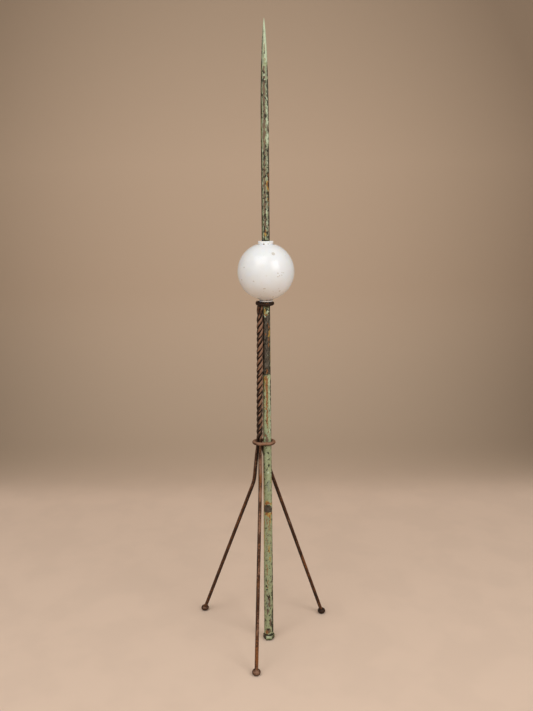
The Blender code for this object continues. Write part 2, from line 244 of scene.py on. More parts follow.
def unevenly(height, side):
    """The same places pushed about a little, so that patches get ragged edges."""
    across = side / TAU
    along = np.clip(height / 1.3, 0, 1)
    up = 1.5 * MM * mottle(across, along, 7, 9, 330) + 0.9 * MM * mottle(across, along, 8, 18, 700)
    turned = math.radians(8) * mottle(across, along, 9, 9, 260)
    turned = turned + math.radians(5) * mottle(across, along, 10, 16, 600)
    return height + up, side + turned


def spots_mask(height, side, spots):
    """Patches as a mask: 1.5 less the distance from the nearest patch in its own half sizes.

    Each spot is (height, degrees from the front, half height in mm, half width in degrees), and
    the mask passes 0.5 on the patch's edge.
    """
    mask = np.zeros(np.broadcast(height, side).shape)
    for middle, turned, tall, wide in spots:
        off = (side - math.radians(turned) + math.pi) % TAU - math.pi
        far = np.hypot((height - middle) / (tall * MM), off / math.radians(wide))
        mask = np.maximum(mask, np.clip(1.5 - far, 0, 1))
    return mask


def bands_mask(height, side, bands):
    """Long patches as a mask that passes 0.5 on their edges, times each band's own strength.

    Each band is (low, high, first degree, last degree, strength).
    """
    mask = np.zeros(np.broadcast(height, side).shape)
    for low, high, first, last, strength in bands:
        wide = math.radians(last - first) / 2
        off = (side - math.radians(first + last) / 2 + math.pi) % TAU - math.pi
        across = 0.5 + (wide - np.abs(off)) / math.radians(10)
        along = 0.5 + np.minimum(height - low, high - height) / 0.006
        mask = np.maximum(mask, strength * np.clip(np.minimum(across, along), 0, 1))
    return mask


def scattered(seed, count, low, high, tall, wide):
    """Seeded spots round the sides and back, out of the front's view."""
    pick = np.random.default_rng(seed)
    return [(pick.uniform(low, high), pick.uniform(105, 255), tall * pick.uniform(0.4, 1.5),
             wide * pick.uniform(0.5, 1.4)) for _ in range(count)]


def grid_faces(rows, columns, ring):
    """Quads of a grid that wraps across, and also lengthwise where it is a ring."""
    row = np.arange(rows if ring else rows - 1)[:, None]
    column = np.arange(columns)[None, :]
    below = (row + 1) % rows
    beside = (column + 1) % columns
    corners = (row * columns + column, below * columns + column,
               below * columns + beside, row * columns + beside)
    return np.stack(corners, -1).reshape(-1, 4)


def solid_mesh(name, grid, ring=False, masks=None):
    """A closed mesh from a grid of points (rows, columns, 3), its ends closed by fans.

    The faces are turned over if the volume under them, a sum of triple products, is negative.
    """
    rows, columns = grid.shape[:2]
    points = grid.reshape(-1, 3)
    faces = grid_faces(rows, columns, ring)
    p, q, r, s = (points[faces[:, i]] for i in range(4))
    volume = (np.cross(p, q) * r).sum() + (np.cross(p, r) * s).sum()
    polygons = faces.tolist()
    if not ring:
        points = np.vstack([points, grid[0].mean(0), grid[-1].mean(0)])
        first, last = len(points) - 2, len(points) - 1
        base = (rows - 1) * columns
        for i in range(columns):
            j = (i + 1) % columns
            polygons.append([first, i, j])
            polygons.append([last, base + j, base + i])
    if volume < 0:
        polygons = [face[::-1] for face in polygons]
    mesh = bpy.data.meshes.new(name)
    mesh.from_pydata(points.tolist(), [], polygons)
    mesh.shade_smooth()
    for label, values in (masks or {}).items():
        flat = values.reshape(-1, 4)
        if not ring:
            flat = np.vstack([flat, values[0].mean(0), values[-1].mean(0)])
        layer = mesh.attributes.new(label, "FLOAT_COLOR", "POINT")
        layer.data.foreach_set("color", flat.astype(np.float32).ravel())
    mesh.validate()
    return mesh


def set_piece(name, mesh, material, slot, *nodes):
    """Put a finished mesh in the scene in place of its frame nodes."""
    piece = bpy.data.objects.new(name, mesh)
    bpy.context.scene.collection.objects.link(piece)
    mesh.materials.append(material)
    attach(piece, BODY)
    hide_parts(*nodes)


def upright(radius, height, angle):
    """Points at a radius round the rod's axis: (r cos a, r sin a, z)."""
    return np.stack(np.broadcast_arrays(radius * np.cos(angle), radius * np.sin(angle), height), -1)


def square_to(path, reference):
    """Two directions square to a path: the reference less its part along the path, and a third."""
    ahead = np.roll(path, -1, 0) - np.roll(path, 1, 0)
    closed = np.linalg.norm(path[0] - path[-1]) <= CLOSED_WITHIN
    if not closed:
        ahead[0] = path[1] - path[0]
        ahead[-1] = path[-1] - path[-2]
    ahead /= np.linalg.norm(ahead, axis=1, keepdims=True)
    first = reference - (reference * ahead).sum(1, keepdims=True) * ahead
    first /= np.linalg.norm(first, axis=1, keepdims=True)
    return first, np.cross(first, ahead)


def swept(path, radius, reference, tall=1.0):
    """A round profile carried along a path, square to it; tall stretches it along the reference."""
    first, second = square_to(path, reference)
    angle = np.linspace(0, TAU, radius.shape[1], endpoint=False)
    stretch = np.broadcast_to(np.asarray(tall, float).reshape(-1, 1), radius.shape)
    around = (radius * stretch * np.cos(angle))[..., None] * first[:, None]
    around = around + (radius * np.sin(angle))[..., None] * second[:, None]
    return path[:, None] + around


def resampled(path, step):
    """The same path with points an even step apart, by its running length."""
    run = np.r_[0, np.cumsum(np.linalg.norm(np.diff(path, axis=0), axis=1))]
    even = np.linspace(0, run[-1], max(2, int(round(run[-1] / step)) + 1))
    return np.stack([np.interp(even, run, path[:, i]) for i in range(3)], -1)


def softened(path, passes):
    """A path with its kinks eased: each inner point moves halfway to its neighbours' middle."""
    for _ in range(passes):
        path = path.copy()
        path[1:-1] = (path[:-2] + 2 * path[1:-1] + path[2:]) / 4
    return path


# Materials

def started(name):
    """A node material and its Principled shader."""
    material = bpy.data.materials.new(name)
    material.use_nodes = True
    return material, material.node_tree, material.node_tree.nodes["Principled BSDF"]


def node(tree, kind, values=None, links=None, **props):
    """Add a node, set its properties and sockets, and link outputs to its inputs."""
    made = tree.nodes.new(kind)
    for key, value in props.items():
        setattr(made, key, value)
    for key, value in (values or {}).items():
        made.inputs[key].default_value = value
    for key, output in (links or {}).items():
        tree.links.new(output, made.inputs[key])
    return made


def place_on(tree, stretch=(1.0, 1.0, 1.0)):
    """Object coordinates, stretched along each axis."""
    spot = node(tree, "ShaderNodeTexCoord")
    return node(tree, "ShaderNodeMapping", {"Scale": stretch},
                {"Vector": spot.outputs["Object"]}).outputs["Vector"]


def grain(tree, where, scale, detail=4.0, roughness=0.6, distortion=0.0):
    """Noise from 0 to 1 at a place."""
    made = node(tree, "ShaderNodeTexNoise",
                {"Scale": scale, "Detail": detail, "Roughness": roughness, "Distortion": distortion},
                {"Vector": where})
    return made.outputs["Fac"]


def sum_of(tree, a, b, factor):
    """a plus factor times (b less one half)."""
    shifted = node(tree, "ShaderNodeMath", {1: 0.5}, {0: b}, operation="SUBTRACT")
    return node(tree, "ShaderNodeMath", {1: factor}, {0: shifted.outputs[0], 2: a},
                operation="MULTIPLY_ADD").outputs[0]


def between(tree, value, low, high):
    """A value from 0 to 1 spread from low to high."""
    return node(tree, "ShaderNodeMapRange", {"To Min": low, "To Max": high},
                {"Value": value}).outputs["Result"]


def ramp(tree, value, low, high):
    """0 below low, 1 above high, smooth between."""
    return node(tree, "ShaderNodeMapRange", {"From Min": low, "From Max": high}, {"Value": value},
                interpolation_type="SMOOTHSTEP").outputs["Result"]


# Sockets of a colour Mix node: the colour under, the colour laid over it, and the result
MIX_UNDER, MIX_OVER, MIX_RESULT = 6, 7, 2


def coat(tree, under, colour, amount, strength=1.0):
    """Lay a colour over what is under it, as far as the amount says."""
    scaled = node(tree, "ShaderNodeMath", {1: strength}, {0: amount}, operation="MULTIPLY")
    mix = node(tree, "ShaderNodeMix", {MIX_OVER: (*colour, 1.0)}, {0: scaled.outputs[0]},
               data_type="RGBA")
    if isinstance(under, tuple):
        mix.inputs[MIX_UNDER].default_value = under
    else:
        tree.links.new(under, mix.inputs[MIX_UNDER])
    return mix.outputs[MIX_RESULT]


def coats(tree, base, layers):
    """Coats over a base colour, from the lowest up: (colour, amount, from, to, strength)."""
    colour = (*base, 1.0)
    for tint, amount, low, high, strength in layers:
        colour = coat(tree, colour, tint, ramp(tree, amount, low, high), strength)
    return colour


def surface(tree, shader, colour, gloss, bump, strength=0.6, distance=0.0006):
    """Feed a colour, a roughness and a bump's height into the shader."""
    tree.links.new(colour, shader.inputs["Base Color"])
    tree.links.new(gloss, shader.inputs["Roughness"])
    raised = node(tree, "ShaderNodeBump", {"Strength": strength, "Distance": distance},
                  {"Height": bump})
    tree.links.new(raised.outputs["Normal"], shader.inputs["Normal"])


def layer_of(tree, name):
    """The four masks that a piece carries under a name."""
    source = node(tree, "ShaderNodeAttribute", attribute_name=name, attribute_type="GEOMETRY")
    parts = node(tree, "ShaderNodeSeparateColor", links={"Color": source.outputs["Color"]})
    return [parts.outputs[0], parts.outputs[1], parts.outputs[2], source.outputs["Alpha"]]


def patina():
    """Verdigris copper: green patina, tarnish, bare metal, rust and ochre stains, dark pits, painted
    shade and painted highlights.
    """
    c = settings().colours
    material, tree, shader = started("aged_verdigris")
    where = place_on(tree)
    streaks = place_on(tree, (1.0, 1.0, 0.30))
    broad = grain(tree, where, 55.0, 4.0, 0.6, 0.4)
    middle = grain(tree, where, 190.0, 4.0, 0.65, 0.8)
    small = grain(tree, where, 380.0, 3.0, 0.65, 0.6)
    fine = grain(tree, where, 1100.0, 2.0, 0.6)
    runs = grain(tree, streaks, 380.0, 3.0, 0.6, 0.3)
    blots = grain(tree, place_on(tree, (1.0, 1.0, 0.55)), 260.0, 2.0, 0.5, 0.5)
    rust, bare, pale_and_highlight, soot_and_shade = layer_of(tree, "stain")
    ochre, umber, grey, olive_and_shade = layer_of(tree, "tint")
    ground = sum_of(tree, bare, small, 0.8)
    dark = sum_of(tree, soot_and_shade, blots, 1.4)
    colour = coats(tree, c.sage, [
        (c.moss, middle, 0.46, 0.62, 0.60),
        (c.grey, broad, 0.50, 0.64, 0.40),
        (c.pale_and_highlight, small, 0.56, 0.68, 0.30),
        (c.olive_and_shade, sum_of(tree, olive_and_shade, runs, 1.1), 0.42, 0.54, 0.90),
        (c.grey, sum_of(tree, grey, middle, 1.0), 0.44, 0.56, 0.80),
        (c.umber, sum_of(tree, umber, runs, 1.1), 0.45, 0.54, 0.90),
        (c.bare, ground, 0.45, 0.52, 0.97),
        (c.film, sum_of(tree, ground, runs, 2.6), 1.00, 1.18, 0.75),
        (c.pale_and_highlight, sum_of(tree, pale_and_highlight, small, 1.1), 0.45, 0.54, 0.90),
        (c.ochre, sum_of(tree, ochre, small, 1.3), 0.43, 0.58, 0.85),
        (c.rust, sum_of(tree, rust, small, 1.3), 0.44, 0.58, 0.88),
        (c.soot_and_shade, dark, 0.48, 0.53, 0.92),
        (c.soot_and_shade, blots, 0.67, 0.72, 0.60),
        (c.soot_and_shade, fine, 0.60, 0.70, 0.40),
    ])
    metal = between(tree, ramp(tree, ground, 0.43, 0.55), 0.0, 0.25)
    tree.links.new(metal, shader.inputs["Metallic"])
    shader.inputs["Specular IOR Level"].default_value = 0.30
    height = sum_of(tree, sum_of(tree, small, fine, 0.7), ramp(tree, dark, 0.48, 0.53), -0.8)
    surface(tree, shader, colour, between(tree, sum_of(tree, small, fine, 0.5), 0.45, 0.75), height)
    return material


def milk_glass():
    """Opaque white glass: glossy, with painted tan shade low down, specks and dirt in the neck
    grooves.
    """
    c = settings().colours
    material, tree, shader = started("opal_glass")
    where = place_on(tree)
    broad = grain(tree, where, 26.0, 3.0, 0.5)
    specks = grain(tree, where, 340.0, 2.0, 0.5)
    low, dirt, hand, _ = layer_of(tree, "low_shade_and_dirt")
    # Painted shade: the glass turns tan towards the bottom
    low_shade = tuple(0.55 * g + 0.45 * d for g, d in zip(c.glass, c.low_shade_and_dirt))
    colour = coats(tree, c.glass, [
        (low_shade, sum_of(tree, low, broad, 0.5), 0.25, 1.1, 0.75),
        (c.speck, sum_of(tree, specks, low, 0.06), 0.700, 0.735, 0.55),
        (c.speck, sum_of(tree, hand, specks, 0.8), 0.45, 0.7, 0.55),
        (c.dirt, sum_of(tree, dirt, specks, 1.2), 0.4, 0.8, 0.85),
    ])
    surface(tree, shader, colour, between(tree, broad, 0.12, 0.20), broad, 0.05, 0.001)
    shader.inputs["IOR"].default_value = 1.5
    shader.inputs["Subsurface Weight"].default_value = 0.55
    shader.inputs["Subsurface Radius"].default_value = (0.011, 0.009, 0.007)
    shader.inputs["Subsurface Scale"].default_value = 1.0
    return material


def rusted_iron():
    """Wrought iron under old rust: dark red-brown, purple-brown where worn and as painted highlight,
    orange where fresh, near black as scale and painted shade.
    """
    c = settings().colours
    material, tree, shader = started("old_wrought_rust")
    where = place_on(tree)
    broad = grain(tree, where, 70.0, 4.0, 0.6, 0.3)
    middle = grain(tree, where, 260.0, 4.0, 0.65, 0.5)
    fine = grain(tree, where, 900.0, 3.0, 0.6)
    # The rubbing and scale layers also carry painted highlight and painted shade
    rust, worn, scale, _ = layer_of(tree, "wear_and_shading")
    colour = coats(tree, c.iron, [
        (c.iron_rust, sum_of(tree, broad, middle, 0.8), 0.50, 0.66, 0.45),
        (c.iron_light, sum_of(tree, worn, middle, 1.3), 0.45, 0.80, 0.90),
        (c.iron_rust, sum_of(tree, rust, middle, 1.2), 0.45, 0.62, 0.85),
        (c.iron_dark, sum_of(tree, scale, fine, 0.8), 0.44, 0.62, 0.92),
        (c.iron_dark, fine, 0.60, 0.68, 0.50),
    ])
    shader.inputs["Metallic"].default_value = 0.1
    shader.inputs["Specular IOR Level"].default_value = 0.26
    surface(tree, shader, colour, between(tree, sum_of(tree, middle, fine, 0.6), 0.36, 0.66),
            sum_of(tree, middle, fine, 0.8))
    return material


def backdrop():
    """Plain warm paper under painted shade: palest on the floor, deeper up the wall and towards its
    sides, its top and its foot.
    """
    c = settings().colours
    material, tree, shader = started("backdrop_paper")
    where = place_on(tree)
    cloudy = grain(tree, where, 7.0, 3.0, 0.5)
    x, y, z = node(tree, "ShaderNodeSeparateXYZ", links={"Vector": where}).outputs
    # Painted shade: the wall darkens towards its sides, its top and its foot
    aside = node(tree, "ShaderNodeMath", {1: 0.1}, {0: x}, operation="ADD").outputs[0]
    sides = node(tree, "ShaderNodeMath", links={0: aside, 1: aside}, operation="MULTIPLY").outputs[0]
    top = node(tree, "ShaderNodeMapRange", {"From Min": 1.1, "From Max": 2.1}, {"Value": z}).outputs[0]
    base = ramp(tree, z, 0.60, 0.05)
    amount = sum_of(tree, sum_of(tree, sum_of(tree, sides, sides, -0.42), top, 0.75), base, 0.26)
    amount = node(tree, "ShaderNodeMath", {1: -0.295}, {0: amount}, operation="SUBTRACT").outputs[0]
    # The wall's deeper tone and the dark tone are painted shade on the floor's own paper
    wall = tuple(v * f for v, f in zip(c.floor, (0.730, 0.715, 0.665)))
    dark = tuple(v * f for v, f in zip(wall, (0.52, 0.50, 0.47)))
    slight = tuple(0.965 * v for v in c.floor)
    back = ramp(tree, y, 0.74, 1.22)
    far = node(tree, "ShaderNodeMath", links={0: amount, 1: back}, operation="MULTIPLY").outputs[0]
    colour = coat(tree, (*c.floor, 1.0), slight, ramp(tree, cloudy, 0.40, 0.62))
    colour = coat(tree, coat(tree, colour, wall, back), dark, far)
    tree.links.new(colour, shader.inputs["Base Color"])
    shader.inputs["Roughness"].default_value = 0.9
    return material


def material_named(name):
    """The finish with this name, made the first time it is asked for."""
    makers = {"aged_verdigris": patina, "opal_glass": milk_glass, "old_wrought_rust": rusted_iron,
              "backdrop_paper": backdrop}
    return bpy.data.materials.get(name) or makers[name]()


# Copper

# Patches as (height in m, degrees right of the front, half height in mm, half width in degrees)
ROD_SPOTS = {
    "rust": [
        (1.239, 8, 9, 7), (1.2185, 16, 1.5, 9), (1.125, -64, 5, 12), (1.024, 52, 3, 9),
        (1, 46, 12, 12), (0.988, 26, 3, 12), (0.986, 52, 8, 12), (0.958, 62, 6, 14), (0.95, 44, 4, 9),
        (0.908, 66, 10, 10), (0.898, -2, 4.5, 14), (0.731, 4, 3, 18), (0.712, 20, 2, 10),
        (0.706, 40, 4, 18), (0.69, -18, 3, 12), (0.68, 38, 4, 12), (0.669, 36, 4, 12),
        (0.613, 4, 7, 12),
    ],
    # Pale bloom; the patches from 22 to 52 degrees right are also a painted reflection of the key lamp
    "pale_and_highlight": [
        (1.282, -4, 11, 50), (1.262, 32, 40, 48), (1.226, 38, 14, 38), (1.19, -8, 1.5, 14),
        (1.1825, 2, 1.5, 12), (1.156, 44, 2, 16), (1.1475, 40, 2.2, 13), (1.1385, 34, 4.5, 13),
        (1.133, 52, 4, 16), (1.1235, 38, 5, 18), (1.106, 34, 6, 20), (1.074, 42, 9, 24),
        (1.05, -44, 5, 6), (1.033, 32, 4.5, 8), (1.0265, 40, 4.5, 8), (1.001, 24, 7, 4),
        (0.99, -42, 6, 7), (0.956, 26, 6, 4), (0.937, 22, 6, 9), (0.914, 24, 5, 9),
        (0.884, -38, 5.5, 10), (0.744, -30, 7, 16), (0.74, 24, 5, 14), (0.729, -12, 3, 14),
        (0.648, 20, 1.6, 8),
    ],
    # Dark pits; the many patches beyond 50 degrees to either side are also painted shade along the
    # rod's edges
    "soot_and_shade": [
        (1.257, -68, 2.6, 18), (1.2505, -66, 1.5, 16), (1.246, -70, 2.5, 14), (1.24, -68, 2, 14),
        (1.2375, 8, 7, 4), (1.2315, -70, 3.4, 14), (1.23, 8, 2.5, 7), (1.224, 74, 2.5, 12),
        (1.217, -72, 2.5, 12), (1.206, 72, 3, 14), (1.198, -20, 1.6, 10), (1.193, 66, 8, 20),
        (1.1745, 64, 3.6, 20), (1.166, 62, 3, 20), (1.1585, 60, 3.4, 20), (1.154, -66, 3.2, 20),
        (1.142, 66, 4, 16), (1.128, 68, 3.5, 16), (1.125, -54, 2, 8), (1.115, 66, 4, 14),
        (1.11, -4, 2, 8), (1.09, -50, 2, 8), (1.09, 68, 5, 16), (1.07, -72, 10, 14), (1.06, 8, 2, 8),
        (1.056, 66, 8, 18), (1.039, 62, 9, 20), (1.025, -74, 14, 12), (1.004, 10, 2, 9),
        (0.995, 70, 7, 18), (0.97, -52, 3, 8), (0.945, -76, 30, 10), (0.94, 68, 14, 20),
        (0.93, 4, 2, 10), (0.908, 72, 12, 14), (0.89, -66, 12, 12), (0.885, 62, 8, 16),
        (0.88, 0, 1.5, 180), (0.756, 0, 2.5, 180), (0.744, -14, 1.5, 9), (0.7436, 12, 1.5, 9),
        (0.73, 70, 10, 14), (0.7, 74, 12, 9), (0.661, 56, 5.5, 12), (0.648, 34, 3.5, 9),
        (0.619, 60, 7, 14), (0.6066, 0, 1, 180),
    ],
    "ochre": [
        (0.989, 26, 6, 14), (0.9815, 34, 4.5, 20), (0.972, 60, 4, 14), (0.96, 44, 3, 10),
        (0.959, 58, 7, 16), (0.8915, -2, 4.5, 12), (0.739, -20, 6, 16), (0.696, 42, 5.5, 15),
        (0.69, 44, 4, 14), (0.688, 38, 2.5, 10), (0.645, 68, 11, 12),
    ],
    "umber": [
        (1.2672, 0, 0.5, 180), (1.237, 7, 8, 8), (1.231, 8, 3, 13), (1.15, 34, 6, 10),
        (1.095, 48, 7, 9), (0.69, 12, 12, 14), (0.656, -10, 9, 20),
    ],
}
TUBE_SPOTS = {
    "rust": [
        (0.6, -8, 7, 22), (0.588, -2, 9, 13), (0.57, 1, 14, 8), (0.546, 2, 10, 5), (0.525, 2, 9, 4),
        (0.515, 60, 4, 9), (0.498, 4, 8, 5), (0.484, 18, 1.8, 10), (0.4765, -26, 1.6, 14),
        (0.325, -4, 2.6, 44), (0.319, -56, 3, 12), (0.301, -18, 3.5, 24), (0.301, 54, 3.5, 14),
        (0.295, 22, 4, 10), (0.285, -16, 9, 6), (0.279, 22, 7, 5), (0.27, 12, 5, 5),
        (0.181, -16, 4, 7), (0.174, -12, 4, 7), (0.167, -10, 3.5, 6), (0.16, -18, 3, 6),
        (0.142, -12, 4, 8), (0.136, -6, 3, 7), (0.13, -8, 2.5, 6), (0.02, -26, 5, 16),
    ],
    "bare": [
        (0.3195, -14, 4, 12), (0.3185, 20, 2.5, 9), (0.3125, -32, 7.5, 42), (0.311, 24, 7, 44),
        (0.3085, 52, 5.5, 18), (0.304, 2, 4, 18),
    ],
    # Pale bloom, and a painted highlight: the column of patches near 44 degrees right is the key
    # lamp's reflection
    "pale_and_highlight": [
        (0.59, 44, 10, 16), (0.56, 44, 24, 9), (0.52, 46, 24, 8), (0.49, 44, 10, 9),
        (0.395, 12, 2.5, 12),
    ],
    # Dark pits; the patches from 54 to 66 degrees to either side are also painted shade along the
    # tube's edges
    "soot_and_shade": [
        (0.59, 62, 5, 14), (0.582, 56, 4, 12), (0.575, 62, 5, 12), (0.565, 58, 4, 10),
        (0.555, -40, 1.8, 7), (0.554, 60, 5, 10), (0.545, 64, 5, 10), (0.535, -44, 1.6, 7),
        (0.53, 66, 3, 9), (0.506, 66, 3, 9), (0.48, 64, 3, 9), (0.452, -30, 2.5, 9),
        (0.4375, 14, 2.3, 12), (0.435, 36, 1.2, 7), (0.4255, 24, 1.2, 8), (0.4235, 12, 1.7, 16),
        (0.4115, 26, 1.4, 6), (0.411, 6, 1.4, 8), (0.41, -54, 2.8, 15), (0.4085, 16, 1.6, 7),
        (0.395, -52, 2.6, 14), (0.394, 60, 1.8, 9), (0.379, -54, 2.6, 14), (0.363, -56, 1.6, 8),
        (0.354, 40, 1.5, 7), (0.349, -54, 1.6, 8), (0.262, -40, 1.5, 6), (0.25, 44, 1.5, 6),
        (0.233, 30, 1.4, 6), (0.214, 60, 3, 10), (0.2, 66, 4, 9), (0.19, 14, 1.4, 6),
        (0.185, 58, 3, 10), (0.17, 64, 4, 10), (0.1545, 24, 2.2, 7), (0.146, 66, 4, 10),
        (0.125, -30, 1.5, 6), (0.118, 62, 7, 12), (0.108, 8, 3, 9), (0.103, -2, 2.5, 8),
        (0.1, 66, 5, 12), (0.0985, 14, 2, 8), (0.09, -20, 2, 7), (0.077, -58, 4, 10),
        (0.07, 56, 9, 14), (0.062, 10, 2, 7), (0.054, 60, 8, 14), (0.048, -56, 4, 10),
        (0.038, 44, 9, 12), (0.03, 62, 10, 16), (0.026, 50, 6, 14), (0.0145, 0, 1.2, 180),
    ],
    "ochre": [
        (0.598, -30, 6, 12), (0.376, 66, 6, 12), (0.35, -72, 60, 14), (0.327, -10, 3.5, 24),
        (0.323, 46, 4, 14), (0.299, 14, 4, 34), (0.288, 34, 10, 8), (0.26, -70, 70, 12),
        (0.22, 10, 10, 8), (0.196, 22, 6, 7),
    ],
    "umber": [
        (0.476, -24, 3.4, 24), (0.473, 0, 2, 14), (0.468, -4, 6, 22), (0.104, 6, 9, 16),
        (0.09, 10, 9, 14), (0.07, -14, 8, 12), (0.044, 24, 10, 12), (0.024, 0, 6, 30),
    ],
    "grey": [(0.365, 10, 14, 20), (0.31, -20, 4, 16), (0.085, -12, 20, 18), (0.05, 34, 12, 14)],
}
CAP_SPOTS = {
    "rust": [(0.0125, -50, 1.6, 20), (0.012, 10, 0.8, 14), (0.003, -46, 1.6, 14)],
    # Painted highlight on the front facet's upper part
    "pale_and_highlight": [(0.0104, -6, 1.8, 20), (0.0098, 16, 1.4, 10)],
    # Dark pits, and painted shade: the rings at 13.1, 1.5 and 0 mm stand in for the crease shadow
    # under the tube and the contact shadow on the floor
    "soot_and_shade": [
        (0.0131, 0, 1.4, 180), (0.009, 56, 4, 12), (0.007, -34, 6, 6), (0.007, 34, 6, 5),
        (0.006, -60, 6, 22), (0.0015, 0, 2.6, 180), (0, 0, 2.4, 180),
    ],
    "umber": [(0.007, -64, 12, 34), (0.007, 180, 9, 50)],
    "olive_and_shade": [(0.006, 66, 9, 24), (0.003, -6, 2, 16)],
}
BALL_SPOTS = {
    "dirt": [(0.8736, -16, 1.6, 10), (0.8736, 18, 1.4, 7)],
    "specks": [
        (0.856, 20, 3.2, 5), (0.83, -50, 1.4, 2.6), (0.8205, 33, 1.1, 1.6), (0.8195, 24, 1.3, 2.2),
        (0.8195, 37, 1.1, 1.8), (0.8152, 33, 1.1, 1.6), (0.815, 1, 1.2, 1.8), (0.8145, 28, 1.3, 1.8),
        (0.8125, 24, 1.4, 2), (0.8045, -60, 1.6, 3), (0.804, -26, 1.4, 2.2), (0.7895, -3, 1.6, 2.5),
        (0.789, -6, 1.2, 1.6), (0.783, 36, 1.6, 3.5), (0.77, 26, 1.5, 4),
    ],
}

# Long patches as (low in m, high in m, first degree, last degree, strength)
ROD_BANDS = {
    # Olive crust, and painted shade on the side facets; the bands from 0.735 to 0.76 m also stand in
    # for the eye's shadow
    "olive_and_shade": [
        (1.216, 1.268, -112, -40, 0.52), (0.877, 1.02, 60, 112, 0.7), (0.877, 1.216, -112, -44, 0.68),
        (0.735, 0.76, -10, 112, 0.6), (0.735, 0.76, -60, -2, 0.56), (0.606, 0.735, 62, 120, 0.55),
    ],
    "umber": [
        (0.905, 1.207, -28, 12, 0.68), (0.877, 0.912, -26, 6, 0.52), (0.877, 0.942, 50, 112, 0.64),
        (0.877, 1.06, 14, 60, 0.46),
    ],
    "grey": [
        # Grey film, and painted reflections of the two lamps on the front-left and front-right facets
        (1.207, 1.29, -112, -14, 0.66), (0.877, 1.19, -46, -26, 0.6), (0.877, 1.207, 14, 60, 0.58),
    ],
    "bare": [(0.73, 0.737, 26, 112, 0.8), (0.6075, 0.73, -112, 60, 1)],
    # Dark crust, and painted shade: the bands on the rod's sides stand in for shade, those from 0.735
    # to 0.76 m for the eye's shadow, and the band from 0.606 to 0.76 m on the left for the twist's
    # shadow
    "soot_and_shade": [
        (1.216, 1.266, -112, -66, 0.48), (1.108, 1.207, 52, 112, 0.66), (1.108, 1.207, -60, 60, 0.39),
        (1.108, 1.216, -112, -52, 0.82), (1.062, 1.108, 60, 112, 0.52),
        (1.062, 1.108, -112, -64, 0.52), (0.877, 1, 34, 62, 0.47), (0.877, 1.06, -64, 60, 0.43),
        (0.877, 1.062, 50, 112, 0.68), (0.877, 1.062, -112, -52, 0.84), (0.738, 0.76, -50, 40, 0.58),
        (0.735, 0.76, 40, 112, 0.66), (0.6075, 0.73, -50, 62, 0.4), (0.606, 0.76, -112, -50, 0.7),
        (0.606, 0.76, 66, 112, 0.52),
    ],
    "ochre": [(0.958, 1, 22, 70, 0.46), (0.885, 0.9, -30, 20, 0.44)],
    "rust": [(0.93, 1.1, -22, 4, 0.36), (0.88, 0.935, 62, 100, 0.46)],
}
TUBE_BANDS = {
    # Olive crust, and painted shade down the tube's sides
    "olive_and_shade": [
        (0.57, 0.61, -112, -30, 0.7), (0.35, 0.57, -112, -46, 0.6), (0.02, 0.2, 58, 112, 0.56),
        (0.02, 0.35, -112, -56, 0.56),
    ],
    "grey": [(0.1, 0.29, -30, 20, 0.44)],
    # Pale from 38 to 64 degrees right: a painted highlight of the key lamp down the tube
    "pale_and_highlight": [(0.44, 0.6, 42, 64, 0.44), (0.3, 0.44, 38, 58, 0.34)],
    "ochre": [
        (0.53, 0.6, -60, 6, 0.4), (0.44, 0.53, -40, -4, 0.3), (0.2, 0.4, -90, -58, 0.44),
        (0.19, 0.3, -20, 50, 0.36),
    ],
    "umber": [(0.49, 0.6, -12, 10, 0.5), (0.016, 0.16, 24, 60, 0.4)],
    "rust": [
        (0.558, 0.6, -20, 16, 0.92), (0.5, 0.562, -12, 14, 0.8), (0.2, 0.3, -40, 50, 0.37),
        (0.02, 0.2, -60, 10, 0.32),
    ],
    # Dark pits, and painted shade: the bands beyond 64 degrees on either side darken the tube's edges
    "soot_and_shade": [
        (0.2, 0.6, -70, 70, 0.29), (0.016, 0.16, 30, 70, 0.4), (0.016, 0.2, -70, 30, 0.34),
        (0.016, 0.6, 64, 112, 0.56), (0.016, 0.6, -112, -72, 0.48), (0.014, 0.075, 46, 66, 0.52),
    ],
}

# The masks' places in the two layers of four, and the sizes of seeded patches on hidden sides
STAIN_MASKS = ("rust", "bare", "pale_and_highlight", "soot_and_shade")
TINT_MASKS = ("ochre", "umber", "grey", "olive_and_shade")
HIDDEN_SIZES = {"rust": (9, 16), "bare": (12, 18), "pale_and_highlight": (9, 16), "soot_and_shade": (4, 10),
                "ochre": (8, 14), "umber": (20, 22), "grey": (18, 18), "olive_and_shade": (24, 24)}


def taper(height):
    """Radius of the rod: full below the taper, then (1 - share^2.45)^0.74 up to the tip."""
    rod = settings().rod
    share = np.clip((height - rod.tip_height + rod.taper_length) / rod.taper_length, 0.0, 1.0)
    return rod.upper_radius * (1 - share ** 2.45) ** 0.74


def tube_radius(height):
    """Radius of the round tube: a straight taper from its mouth to its foot."""
    rod = settings().rod
    share = (height - rod.cap_height) / (rod.tube_top - rod.cap_height)
    return rod.tube_foot_radius + (rod.tube_top_radius - rod.tube_foot_radius) * share


def packed(masks, shape):
    """Named masks in two layers of four, with nothing where a name is missing."""
    none = np.zeros(shape)
    return {"stain": np.stack([masks.get(name, none) for name in STAIN_MASKS], -1),
            "tint": np.stack([masks.get(name, none) for name in TINT_MASKS], -1)}


def rod_masks(height, side, spots, bands, low, high, count):
    """All masks of a copper piece, with seeded patches added on its hidden sides."""
    rise, turn = unevenly(height, side)
    masks = {}
    for index, name in enumerate(STAIN_MASKS + TINT_MASKS):
        tall, wide = HIDDEN_SIZES[name]
        hidden = scattered(40 + index, count, low, high, tall, wide)
        mask = spots_mask(rise, turn, spots.get(name, []) + hidden)
        masks[name] = np.maximum(mask, bands_mask(rise, turn, bands.get(name, [])))
    return packed(masks, turn.shape)


